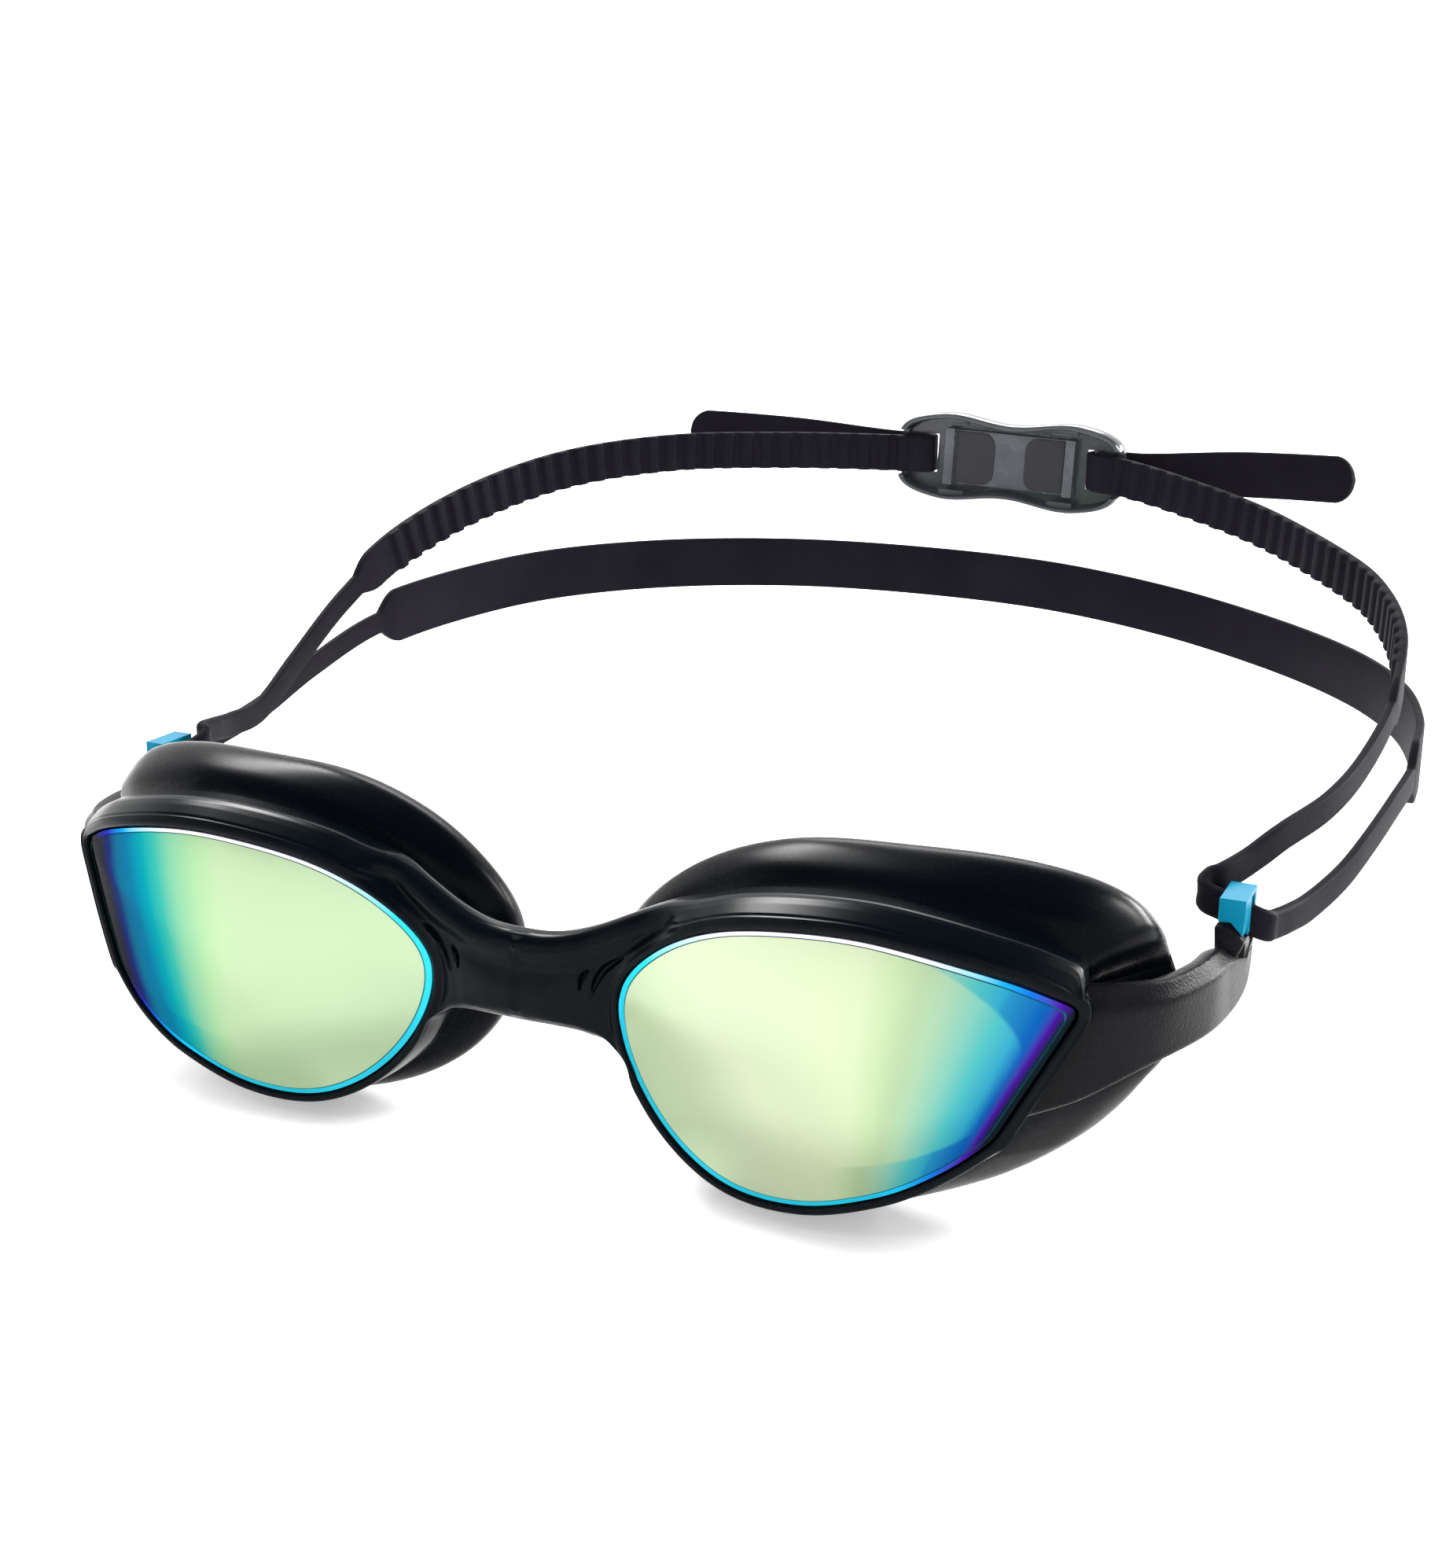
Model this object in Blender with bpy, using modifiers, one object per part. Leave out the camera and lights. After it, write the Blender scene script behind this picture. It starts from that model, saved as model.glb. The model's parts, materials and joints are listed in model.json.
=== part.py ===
"""Swim goggles: curved lenses, hard eye frames with temple arms, one soft front skin with the nose bridge,
two face seals, and a split silicone head strap with a rear buckle.

Metres, +Z up. Every size below is in the eye frame: its origin is in the middle of the nose bridge, +X is
towards the viewer's right, +Y runs back to the wearer's head. An empty lifts the eye frame so that the
goggles stand on z = 0 with the origin under the middle of their box.
"""

import math

import bmesh
import bpy
import numpy as np
from mathutils import Matrix, Vector

# Place of the eye frame in the part's own frame
EYE_FRAME = (0.0, -0.10908, 0.03147)

# Gap between pieces that touch
GAP = 0.0003

# Lens: outline from the temple tip over the brow, round the nose and back along the bottom, as (x, z)
LENS_OUTLINE = (
    (0.0790, 0.0053), (0.0703, 0.0095), (0.0584, 0.0124), (0.0464, 0.0126), (0.0323, 0.0101),
    (0.0218, 0.0048), (0.0154, -0.0028), (0.0167, -0.0120), (0.0234, -0.0208), (0.0330, -0.0259),
    (0.0445, -0.0259), (0.0559, -0.0219), (0.0644, -0.0168), (0.0699, -0.0123),
)
LENS_STEPS = 44            # stations round the outline
LENS_THICKNESS = 0.0018
LENS_CROWN = 0.0016        # how far the middle stands in front of the edge
WRAP_FRONT_X = 0.056       # where the lens reaches furthest forward
WRAP_FRONT_Y = -0.0055
WRAP_NOSE_DROP = 0.0060    # how far it falls back by the nose end
WRAP_TEMPLE_DROP = 0.0082  # and by the temple tip
NOSE_X = 0.0154
TIP_X = 0.0790

# Frame ring behind the lens, as (outward from the lens edge, back from the lens front)
RING_IN = -0.0016
RING_OUT = 0.0010
RING_FRONT = 0.0022
RING_BACK = 0.0070

# Front skin round each lens
SKIN_LIP_OUT = 0.0013
SKIN_STEP_BACK = 0.0035
SKIN_BACK = 0.0076
SKIN_LIP_BACK = 0.0020     # how deep the rim is beside the temple arm
SKIN_BROW = 0.0036         # height of the brow over the lens edge
SKIN_CHIN = 0.0020         # and of the rim under it
SKIN_TEMPLE = 0.0018       # and of the rim beside the temple arm

# Nose bridge, as (x, y, z, half height, half thickness)
BRIDGE = (
    (0.0000, 0.0010, -0.0029, 0.0067, 0.0023),
    (0.0060, 0.0011, -0.0026, 0.0071, 0.0023),
    (0.0110, 0.0016, -0.0020, 0.0081, 0.0024),
    (0.0145, 0.0024, -0.0022, 0.0098, 0.0022),
    (0.0180, 0.0034, -0.0024, 0.0113, 0.0018),
    (0.0225, 0.0038, -0.0030, 0.0137, 0.0015),
    (0.0270, 0.0030, -0.0030, 0.0141, 0.0012),
)
# Flex notches beside the bridge, as (x, z, length, width)
NOTCHES = ((0.0131, -0.0004, 0.0078, 0.0016), (0.0100, -0.0018, 0.0042, 0.0012))
NOTCH_DEPTH = 0.0009
NOTCH_LEAN = math.radians(24.0)

# Face seal: its rim, station by station with LENS_OUTLINE
SEAL_RIM = (
    (0.0856, 0.0268, 0.0026), (0.0812, 0.0264, 0.0110), (0.0700, 0.0230, 0.0155),
    (0.0540, 0.0190, 0.0172), (0.0360, 0.0170, 0.0170), (0.0205, 0.0170, 0.0108),
    (0.0096, 0.0170, -0.0005), (0.0098, 0.0160, -0.0115), (0.0165, 0.0140, -0.0220),
    (0.0290, 0.0125, -0.0284), (0.0450, 0.0125, -0.0297), (0.0600, 0.0155, -0.0278),
    (0.0745, 0.0205, -0.0218), (0.0850, 0.0260, -0.0090),
)
SEAL_SWELL = 0.0011        # how far the rim bows out beside the temple arm
SEAL_WALL = 0.0013
SEAL_FLANGE = 0.0012
SEAL_TEMPLE_ROOT = -0.0004  # where the seal starts beside the temple arm, outward from the lens edge

# Temple arm: (top edge, bottom edge, half thickness) from the frame ring to its upturned end
ARM = (
    ((0.0772, 0.0064, 0.0070), (0.0690, 0.0032, -0.0126), 0.0017),
    ((0.0825, 0.0088, 0.0071), (0.0775, 0.0060, -0.0089), 0.0019),
    ((0.0870, 0.0140, 0.0066), (0.0850, 0.0115, -0.0045), 0.0021),
    ((0.0896, 0.0220, 0.0063), (0.0895, 0.0205, -0.0036), 0.0021),
    ((0.0901, 0.0285, 0.0057), (0.0907, 0.0305, -0.0041), 0.0021),
    ((0.0906, 0.0335, 0.0044), (0.0911, 0.0374, -0.0032), 0.0021),
    ((0.0909, 0.0352, 0.0030), (0.0911, 0.0400, -0.0006), 0.0021),
    ((0.0910, 0.0354, 0.0029), (0.0910, 0.0410, 0.0025), 0.0021),
)
# Post on the arm's end, in front of the clip: its face as (x, z), and its front and back
POST = (
    (0.0891, 0.0012), (0.0928, 0.0012), (0.0932, 0.0058), (0.0909, 0.0077), (0.0888, 0.0076),
)
POST_FRONT = 0.0326
POST_BACK = 0.0350

# Strap clip: a block on the arm's end, with a slot for the strap from side to side
CLIP_LOW = (0.0890, 0.0354, 0.0032)
CLIP_HIGH = (0.0930, 0.0412, 0.0118)
CLIP_SLOT_Y = (0.0373, 0.0395)
CLIP_SLOT_Z = (0.0045, 0.0110)
CLIP_BEVEL = 0.0003

# Strap
STRAP_THICKNESS = 0.0015
NECK_WIDTH = 0.0044
UPPER_WIDTH = 0.0082
LOWER_WIDTH = 0.0112
RIB_PITCH = 0.0046
RIB_HEIGHT = 0.0008
UPPER_PIVOT = (0.0, 0.0450, 0.0115)
LOWER_PIVOT = (0.0, 0.0450, 0.0047)

# The strap's turn round the clip's back bar, from its head side through the slot to its outer side
LOOP = (
    (0.0877, 0.0420, 0.0114), (0.0866, 0.0410, 0.0110), (0.0859, 0.0399, 0.0103), (0.0861, 0.0389, 0.0097),
    (0.0870, 0.0384, 0.0092), (0.0886, 0.0384, 0.0087), (0.0907, 0.0384, 0.0079), (0.0929, 0.0384, 0.0071),
    (0.0941, 0.0388, 0.0066), (0.0948, 0.0400, 0.0060), (0.0948, 0.0421, 0.0054),
)
# Upper strap, from the clip to the buckle. The last points go through the buckle's slot.
UPPER_RIGHT = (
    (0.0880, 0.0428, 0.0115), (0.0900, 0.0480, 0.0121), (0.0933, 0.0560, 0.0140), (0.0972, 0.0700, 0.0151),
    (0.0993, 0.0880, 0.0166), (0.1003, 0.1100, 0.0202), (0.0985, 0.1320, 0.0246), (0.0925, 0.1530, 0.0277),
    (0.0830, 0.1715, 0.0300), (0.0620, 0.1975, 0.0336), (0.0420, 0.2110, 0.0368), (0.0285, 0.2164, 0.0389),
    (0.0216, 0.2172, 0.0395),
)
UPPER_LEFT = (
    (-0.0880, 0.0428, 0.0115), (-0.0900, 0.0480, 0.0104), (-0.0928, 0.0560, 0.0090),
    (-0.0955, 0.0680, 0.0086), (-0.0980, 0.0830, 0.0142), (-0.0993, 0.1010, 0.0225), (-0.0980, 0.1200, 0.0305),
    (-0.0935, 0.1440, 0.0368), (-0.0850, 0.1680, 0.0408), (-0.0700, 0.1900, 0.0424),
    (-0.0500, 0.2073, 0.0420), (-0.0290, 0.2164, 0.0416), (-0.0216, 0.2172, 0.0415),
)
# Lower strap, from the right clip round the back to the left clip
LOWER = (
    (0.0949, 0.0428, 0.0052), (0.0961, 0.0480, 0.0046), (0.0977, 0.0560, 0.0040), (0.1000, 0.0690, 0.0044),
    (0.1016, 0.0820, 0.0056), (0.1028, 0.1010, 0.0064), (0.1032, 0.1220, 0.0062), (0.1015, 0.1420, 0.0062),
    (0.0955, 0.1640, 0.0066), (0.0835, 0.1845, 0.0072), (0.0640, 0.2032, 0.0082), (0.0380, 0.2155, 0.0106),
    (0.0100, 0.2200, 0.0130), (-0.0200, 0.2190, 0.0142), (-0.0480, 0.2110, 0.0152), (-0.0720, 0.1930, 0.0162),
    (-0.0895, 0.1690, 0.0166), (-0.0990, 0.1440, 0.0158), (-0.1030, 0.1180, 0.0142),
    (-0.1028, 0.0950, 0.0104), (-0.1003, 0.0740, 0.0068), (-0.0977, 0.0560, 0.0058),
    (-0.0961, 0.0480, 0.0053), (-0.0949, 0.0428, 0.0052),
)
NECK_LENGTH_UPPER = 0.066
NECK_LENGTH_LOWER = 0.078
SHOULDER_LENGTH = 0.006
SHOULDER_STEPS = (0.0, 0.25, 0.6, 1.0)
ROUND_END_STEPS = (0.0, 0.02, 0.08, 0.2, 0.4, 0.65, 1.0)

# Tails behind the buckle
TAIL_RIGHT = (
    (0.0295, 0.2242, 0.0396), (0.0450, 0.2226, 0.0404), (0.0620, 0.2182, 0.0414), (0.0768, 0.2125, 0.0422),
)
TAIL_LEFT = (
    (-0.0295, 0.2242, 0.0416), (-0.0450, 0.2226, 0.0424), (-0.0620, 0.2182, 0.0436), (-0.0768, 0.2125, 0.0446),
)
TAIL_WIDTH = 0.0098

# Buckle: an hourglass tray, open towards the head
BUCKLE_CENTRE = (0.0, 0.2196, 0.0406)
BUCKLE_HALF_LENGTH = 0.0262
BUCKLE_HUMP = 0.0104       # half height at the two humps
BUCKLE_WAIST = 0.0083      # half height in the middle
BUCKLE_DEPTH = 0.0056
BUCKLE_WALL = 0.0012
BUCKLE_TILT = math.radians(-2.6)
SLOT_IN = 0.0165
SLOT_OUT = 0.0216
SLOT_HALF_HEIGHT = 0.0052
PLATE_HALF_LENGTH = 0.0150
PLATE_HALF_HEIGHT = 0.0062
PLATE_THICKNESS = 0.0014

COLOURS = {
    "lens": ((0.45, 0.80, 0.55, 1.0), 0.06, 0.9),
    "frame": ((0.016, 0.017, 0.020, 1.0), 0.42, 0.0),
    "skin": ((0.004, 0.006, 0.012, 1.0), 0.22, 0.0),
    "seal": ((0.005, 0.006, 0.010, 1.0), 0.28, 0.0),
    "strap": ((0.011, 0.010, 0.013, 1.0), 0.62, 0.0),
    "clip": ((0.0, 0.29, 0.60, 1.0), 0.35, 0.0),
    "buckle": ((0.05, 0.055, 0.062, 1.0), 0.18, 0.0),
}


def clear_scene():
    """Remove the objects that the scene starts with."""
    for item in list(bpy.data.objects):
        bpy.data.objects.remove(item, do_unlink=True)


def collection(name):
    """A new collection in the scene."""
    made = bpy.data.collections.new(name)
    bpy.context.scene.collection.children.link(made)
    return made


def material(node, look):
    """Each piece has its own Principled material."""
    colour, roughness, metallic = COLOURS[look]
    made = bpy.data.materials.new(node)
    made.use_nodes = True
    shader = made.node_tree.nodes["Principled BSDF"]
    shader.inputs["Base Color"].default_value = colour
    shader.inputs["Roughness"].default_value = roughness
    shader.inputs["Metallic"].default_value = metallic
    return made


def empty(name, location, parent=None):
    """An empty that carries other objects."""
    made = bpy.data.objects.new(name, None)
    PARTS.objects.link(made)
    made.parent = parent
    made.location = location
    return made


def finish(body, node, look, parent, pivot=(0.0, 0.0, 0.0)):
    """Name a piece, give it its material and hang it on its parent."""
    body.name = node
    body.data.name = node
    body.data.materials.clear()
    body.data.materials.append(material(node, look))
    body.parent = parent
    body.location = -Vector(pivot)
    body.data.shade_smooth()
    body.data.set_sharp_from_angle(angle=math.radians(35.0))
    return body


def smooth_path(points, steps, closed=False):
    """Points at even distances along a smooth curve through the given ones."""
    control = np.array(points, dtype=float)
    count = len(control)
    spans = count if closed else count - 1
    dense = []
    for span in range(spans):
        if closed:
            p0, p1, p2, p3 = (control[(span + k) % count] for k in (-1, 0, 1, 2))
        else:
            p1, p2 = control[span], control[span + 1]
            p0 = control[span - 1] if span > 0 else 2 * p1 - p2
            p3 = control[span + 2] if span + 2 < count else 2 * p2 - p1
        for t in np.linspace(0.0, 1.0, 24, endpoint=False):
            dense.append(0.5 * (2 * p1 + (p2 - p0) * t + (2 * p0 - 5 * p1 + 4 * p2 - p3) * t ** 2
                                + (3 * p1 - p0 - 3 * p2 + p3) * t ** 3))
    dense.append(control[0] if closed else control[-1])
    dense = np.array(dense)
    along = measured(dense)
    places = np.linspace(0.0, along[-1], steps, endpoint=not closed)
    return np.stack([np.interp(places, along, dense[:, k]) for k in range(dense.shape[1])], axis=1)


def loft(name, sections, ring=False):
    """A closed skin over sections of equal point count, capped at both ends unless they run in a ring."""
    mesh = bmesh.new()
    rows = [[mesh.verts.new(point) for point in section] for section in sections]
    pairs = list(zip(rows, rows[1:] + rows[:1])) if ring else list(zip(rows, rows[1:]))
    for low, high in pairs:
        for i in range(len(low)):
            j = (i + 1) % len(low)
            mesh.faces.new((low[i], low[j], high[j], high[i]))
    if not ring:
        mesh.faces.new(list(reversed(rows[0])))
        mesh.faces.new(rows[-1])
    bmesh.ops.recalc_face_normals(mesh, faces=mesh.faces)
    data = bpy.data.meshes.new(name)
    mesh.to_mesh(data)
    mesh.free()
    made = bpy.data.objects.new(name, data)
    PARTS.objects.link(made)
    return made


def box(name, low, high, group=None):
    """A box between two corners."""
    mesh = bmesh.new()
    bmesh.ops.create_cube(mesh, size=1.0)
    size = Vector(high) - Vector(low)
    bmesh.ops.transform(mesh, matrix=Matrix.Diagonal((*size, 1.0)), verts=mesh.verts)
    bmesh.ops.translate(mesh, vec=(Vector(low) + Vector(high)) / 2.0, verts=mesh.verts)
    data = bpy.data.meshes.new(name)
    mesh.to_mesh(data)
    mesh.free()
    made = bpy.data.objects.new(name, data)
    (group or PARTS).objects.link(made)
    return made


def boolean(body, other, operation):
    """Join or cut a body with another, and keep the other one among the cutters."""
    for group in list(other.users_collection):
        group.objects.unlink(other)
    CUTTERS.objects.link(other)
    other.hide_render = True
    other.hide_set(True)
    other.display_type = "WIRE"
    step = body.modifiers.new(operation.lower(), "BOOLEAN")
    step.operation = operation
    step.solver = "EXACT"
    step.object = other


def bake(body):
    """Apply a body's modifiers, so that the result can be cut or joined again."""
    bpy.context.view_layer.update()
    graph = bpy.context.evaluated_depsgraph_get()
    data = bpy.data.meshes.new_from_object(body.evaluated_get(graph))
    body.modifiers.clear()
    body.data = data


def mirrored(point, side):
    """The point on the right (side 1) or its mirror image on the left (side -1)."""
    return (point[0] * side, *point[1:])


def wrap(x):
    """How far back the lens edge is at a distance x from the middle plane."""
    if x < WRAP_FRONT_X:
        share = (WRAP_FRONT_X - x) / (WRAP_FRONT_X - NOSE_X)
        return WRAP_FRONT_Y + WRAP_NOSE_DROP * share ** 2
    share = (x - WRAP_FRONT_X) / (TIP_X - WRAP_FRONT_X)
    return WRAP_FRONT_Y + WRAP_TEMPLE_DROP * share ** 2


def lens_stations():
    """Stations round the lens edge: the place (x, z) and the outward direction in that plane."""
    open_part = smooth_path(LENS_OUTLINE, LENS_STEPS - 5)
    tip, corner = open_part[0], open_part[-1]
    straight = [corner + (tip - corner) * k / 6 for k in range(1, 6)]
    places = np.vstack([open_part, straight])
    ahead = np.roll(places, -1, axis=0) - np.roll(places, 1, axis=0)
    outward = np.stack([ahead[:, 1], -ahead[:, 0]], axis=1)
    outward = -outward / np.linalg.norm(outward, axis=1)[:, None]
    centre = places.mean(axis=0)
    if ((places - centre) * outward).sum() < 0:
        outward = -outward
    return places, outward


def station_point(place, outward, out, back):
    """A point at a distance outward from the lens edge and back from the lens front."""
    x, z = place + outward * out
    return (x, wrap(min(max(place[0], NOSE_X), TIP_X)) + back, z)


def brow_share(outward):
    """1 along the brow and 0 along the bottom."""
    return 0.5 + 0.5 * max(-1.0, min(1.0, float(outward[1]) * 1.2))


def temple_share(outward):
    """1 where the rim faces the temple and 0 elsewhere."""
    return max(0.0, min(1.0, (float(outward[0]) - 0.55) / 0.25))


def make_lens(side):
    """A crowned lens: rings of the outline that close on the middle, front and back."""
    places, _ = lens_stations()
    centre = places.mean(axis=0)
    sections = []
    for back in (0.0, LENS_THICKNESS):
        shares = (0.05, 0.45, 0.8, 1.0) if back == 0.0 else (1.0, 0.8, 0.45, 0.05)
        for share in shares:
            section = []
            for place in places:
                x, z = centre + (place - centre) * share
                crown = LENS_CROWN * (1.0 - share ** 2)
                section.append((x * side, wrap(max(x, NOSE_X)) + back - crown, z))
            sections.append(section)
    return loft("lens", sections)


def make_arm(side, grow=0.0):
    """The temple arm, from inside the ring to the flat end that carries the clip."""
    sections = []
    for index, (top, bottom, half) in enumerate(ARM):
        top, bottom = Vector(top), Vector(bottom)
        near, far = ARM[max(index - 1, 0)], ARM[min(index + 1, len(ARM) - 1)]
        ahead = Vector(far[0]) + Vector(far[1]) - Vector(near[0]) - Vector(near[1])
        across = (top - bottom).normalized().cross(ahead.normalized()).normalized() * (half + grow)
        rise = (top - bottom) * 0.5 + (top - bottom).normalized() * grow
        middle = (top + bottom) * 0.5
        shape = ((1.0, 0.55), (0.9, 1.0), (-0.9, 1.0), (-1.0, 0.55), (-1.0, -0.55), (-0.9, -1.0),
                 (0.9, -1.0), (1.0, -0.55))
        sections.append([mirrored(middle + rise * a + across * b, side) for a, b in shape])
    return loft("arm", sections)


def make_frame(side):
    """The hard ring behind the lens, joined to the temple arm."""
    places, outward = lens_stations()
    corners = ((RING_IN, RING_FRONT), (RING_OUT, RING_FRONT), (RING_OUT, RING_BACK), (RING_IN, RING_BACK))
    sections = [[mirrored(station_point(p, o, *corner), side) for corner in corners]
                for p, o in zip(places, outward)]
    ring = loft("frame", sections, ring=True)
    boolean(ring, make_arm(side), "UNION")
    bake(ring)
    boolean(ring, prism("post", [mirrored(corner, side) for corner in POST], POST_FRONT, POST_BACK), "UNION")
    bake(ring)
    return ring


def make_plug(places, outward):
    """The room that the lens and the frame ring need, as a stepped plug."""
    steps = ((0.5 * SKIN_LIP_OUT, -0.0060), (0.5 * SKIN_LIP_OUT, 0.0012), (SKIN_LIP_OUT + GAP, 0.0012),
             (SKIN_LIP_OUT + GAP, 0.0120))
    return loft("plug", [[station_point(p, o, *step) for p, o in zip(places, outward)] for step in steps])


def make_skin():
    """The soft front: a rim round each lens and the nose bridge between them, with its flex notches."""
    places, outward = lens_stations()
    sections = []
    for place, out in zip(places, outward):
        brow = brow_share(out)
        deep = 1.0 - temple_share(out)
        reach = SKIN_CHIN + (SKIN_BROW - SKIN_CHIN) * brow
        reach = SKIN_TEMPLE + (reach - SKIN_TEMPLE) * deep
        back = SKIN_LIP_BACK + (SKIN_BACK - SKIN_LIP_BACK) * deep
        profile = (
            (GAP, -0.0001), (0.0009, -0.0003), (SKIN_LIP_OUT + 0.3 * (reach - SKIN_LIP_OUT), 0.0009 * deep),
            (reach * 0.86, 0.0008 + (SKIN_STEP_BACK - 0.0008) * deep), (reach, back - 0.0008 * deep - 0.0001),
            (reach - 0.0004, back), (SKIN_LIP_OUT, back), (SKIN_LIP_OUT, 0.0019), (GAP, 0.0019),
        )
        sections.append([station_point(place, out, *corner) for corner in profile])
    skin = loft("skin", sections, ring=True)
    halves = [(-x, y, z, h, t) for x, y, z, h, t in BRIDGE[:0:-1]] + list(BRIDGE)
    bridge_sections = []
    for x, y, z, height, half in halves:
        section = []
        for k in range(14):
            turn = 2.0 * math.pi * k / 14
            up, forth = math.cos(turn), math.sin(turn)
            up = math.copysign(abs(up) ** 0.75, up)
            forth = math.copysign(abs(forth) ** 0.75, forth)
            section.append((x, y + half * forth, z + height * up))
        bridge_sections.append(section)
    bridge = loft("bridge", bridge_sections)
    boolean(bridge, make_plug(places, outward), "DIFFERENCE")
    bake(bridge)
    boolean(skin, bridge, "UNION")
    bake(skin)
    boolean(skin, make_arm(1, grow=GAP), "DIFFERENCE")
    bake(skin)
    for x, z, length, width in NOTCHES:
        cutter = bmesh.new()
        bmesh.ops.create_uvsphere(cutter, u_segments=12, v_segments=8, radius=0.5)
        bmesh.ops.transform(cutter, matrix=Matrix.Diagonal((width, NOTCH_DEPTH * 2.0, length, 1.0)),
                            verts=cutter.verts)
        bmesh.ops.rotate(cutter, matrix=Matrix.Rotation(NOTCH_LEAN, 3, "Y"), verts=cutter.verts)
        data = bpy.data.meshes.new("notch")
        cutter.to_mesh(data)
        cutter.free()
        notch = bpy.data.objects.new("notch", data)
        PARTS.objects.link(notch)
        notch.location = (x, -0.0006, z)
        boolean(skin, notch, "DIFFERENCE")
    mirror = skin.modifiers.new("other_eye", "MIRROR")
    mirror.use_bisect_axis = (True, False, False)
    mirror.use_mirror_merge = True
    mirror.merge_threshold = 0.00005
    return skin


def make_seal(side):
    """The face cup: a flange behind the frame ring that flares out and back to a soft rim."""
    places, outward = lens_stations()
    rim_open = smooth_path(SEAL_RIM, LENS_STEPS - 5)
    straight = [rim_open[-1] + (rim_open[0] - rim_open[-1]) * k / 6 for k in range(1, 6)]
    bulge = [math.sin(math.pi * k / 6) * SEAL_SWELL for k in range(1, 6)]
    straight = [point + np.array((swell, 0.0, -swell * 0.4)) for point, swell in zip(straight, bulge)]
    rim = np.vstack([rim_open, straight])
    sections = []
    for place, out, edge in zip(places, outward, rim):
        temple = temple_share(out)
        reach = SKIN_CHIN + (SKIN_BROW - SKIN_CHIN) * brow_share(out) - 0.0009
        reach += (SEAL_TEMPLE_ROOT - reach) * temple
        puff = 1.0 - 0.85 * temple
        root = np.array(station_point(place, out, reach, SKIN_BACK + GAP))
        inner = np.array(station_point(place, out, RING_IN, SKIN_BACK + GAP))
        normal = np.array((out[0], 0.0, out[1]))
        back = np.array((0.0, 1.0, 0.0))
        span = edge - root
        section = [root]
        bulge = (normal - back * 0.35) * np.linalg.norm(span) * puff
        wall = normal * SEAL_WALL * 1.6 - back * SEAL_WALL * 0.8
        for share, swell in ((0.3, 0.16), (0.65, 0.2), (0.9, 0.1)):
            section.append(root + span * share + bulge * swell)
        section.append(edge)
        section.append(edge - normal * 0.0012 + back * 0.0006)
        section.append(edge - normal * 0.0026 - back * 0.0004)
        for share, swell in ((0.65, 0.2), (0.3, 0.16)):
            section.append(root + span * share + bulge * swell - wall)
        section.append(inner + back * SEAL_FLANGE)
        section.append(inner)
        sections.append([mirrored(point, side) for point in section])
    return loft("seal", sections, ring=True)


def make_clip(side):
    """The clip: a block with the strap's slot through it from side to side."""
    low, high = mirrored(CLIP_LOW, side), mirrored(CLIP_HIGH, side)
    near, far = min(low[0], high[0]), max(low[0], high[0])
    clip = box("clip", (near, low[1], low[2]), (far, high[1], high[2]))
    cutter = box("clip_slot", (near - 0.002, CLIP_SLOT_Y[0], CLIP_SLOT_Z[0]),
                 (far + 0.002, CLIP_SLOT_Y[1], CLIP_SLOT_Z[1]))
    boolean(clip, cutter, "DIFFERENCE")
    bake(clip)
    edges = clip.modifiers.new("edges", "BEVEL")
    edges.width = CLIP_BEVEL
    edges.segments = 2
    edges.limit_method = "ANGLE"
    return clip


def band_frames(path):
    """Direction, sideways (thickness) and upward (width) unit vectors along a strap's route."""
    ahead = np.gradient(path, axis=0)
    ahead /= np.linalg.norm(ahead, axis=1)[:, None]
    aside = np.cross(ahead, (0.0, 0.0, 1.0))
    aside /= np.linalg.norm(aside, axis=1)[:, None]
    upward = np.cross(aside, ahead)
    return ahead, aside, upward


def band(name, path, widths, inner=None, outer=None):
    """A flat strap along a route. inner and outer are the half thickness on each face."""
    _, aside, upward = band_frames(path)
    half = STRAP_THICKNESS / 2.0
    inner = np.full(len(path), half) if inner is None else inner
    outer = np.full(len(path), half) if outer is None else outer
    sections = []
    for k, point in enumerate(path):
        rise = upward[k] * widths[k] / 2.0
        sections.append([point + rise - aside[k] * inner[k], point + rise + aside[k] * outer[k],
                         point - rise + aside[k] * outer[k], point - rise - aside[k] * inner[k]])
    return loft(name, sections)


def rounded_end(distance, radius):
    """Width of a round end at a distance from its tip."""
    if distance >= radius:
        return 2.0 * radius
    return 2.0 * math.sqrt(max(radius ** 2 - (radius - distance) ** 2, 0.0)) + 0.0002


def end_places(radius):
    """Distances from a tip that draw a round end."""
    return [radius * step for step in ROUND_END_STEPS]


def measured(dense):
    """Distance along a dense polyline at each of its points."""
    return np.concatenate([[0.0], np.cumsum(np.linalg.norm(np.diff(dense, axis=0), axis=1))])


def resample(dense, along, places):
    """Points of a dense polyline at given distances from its start."""
    return np.stack([np.interp(places, along, dense[:, k]) for k in range(3)], axis=1)


def make_loop(side):
    """The strap's turn round the clip bar."""
    path = np.array([mirrored(point, side) for point in smooth_path(LOOP, 26)])
    return band("loop", path, np.full(len(path), NECK_WIDTH))


def shoulder(distance, neck, narrow, wide):
    """Width of a strap at a distance from the clip: a narrow neck, then a quick rounded shoulder."""
    share = min(max((distance - neck) / SHOULDER_LENGTH, 0.0), 1.0)
    return narrow + (wide - narrow) * math.sin(share * math.pi / 2.0)


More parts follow.
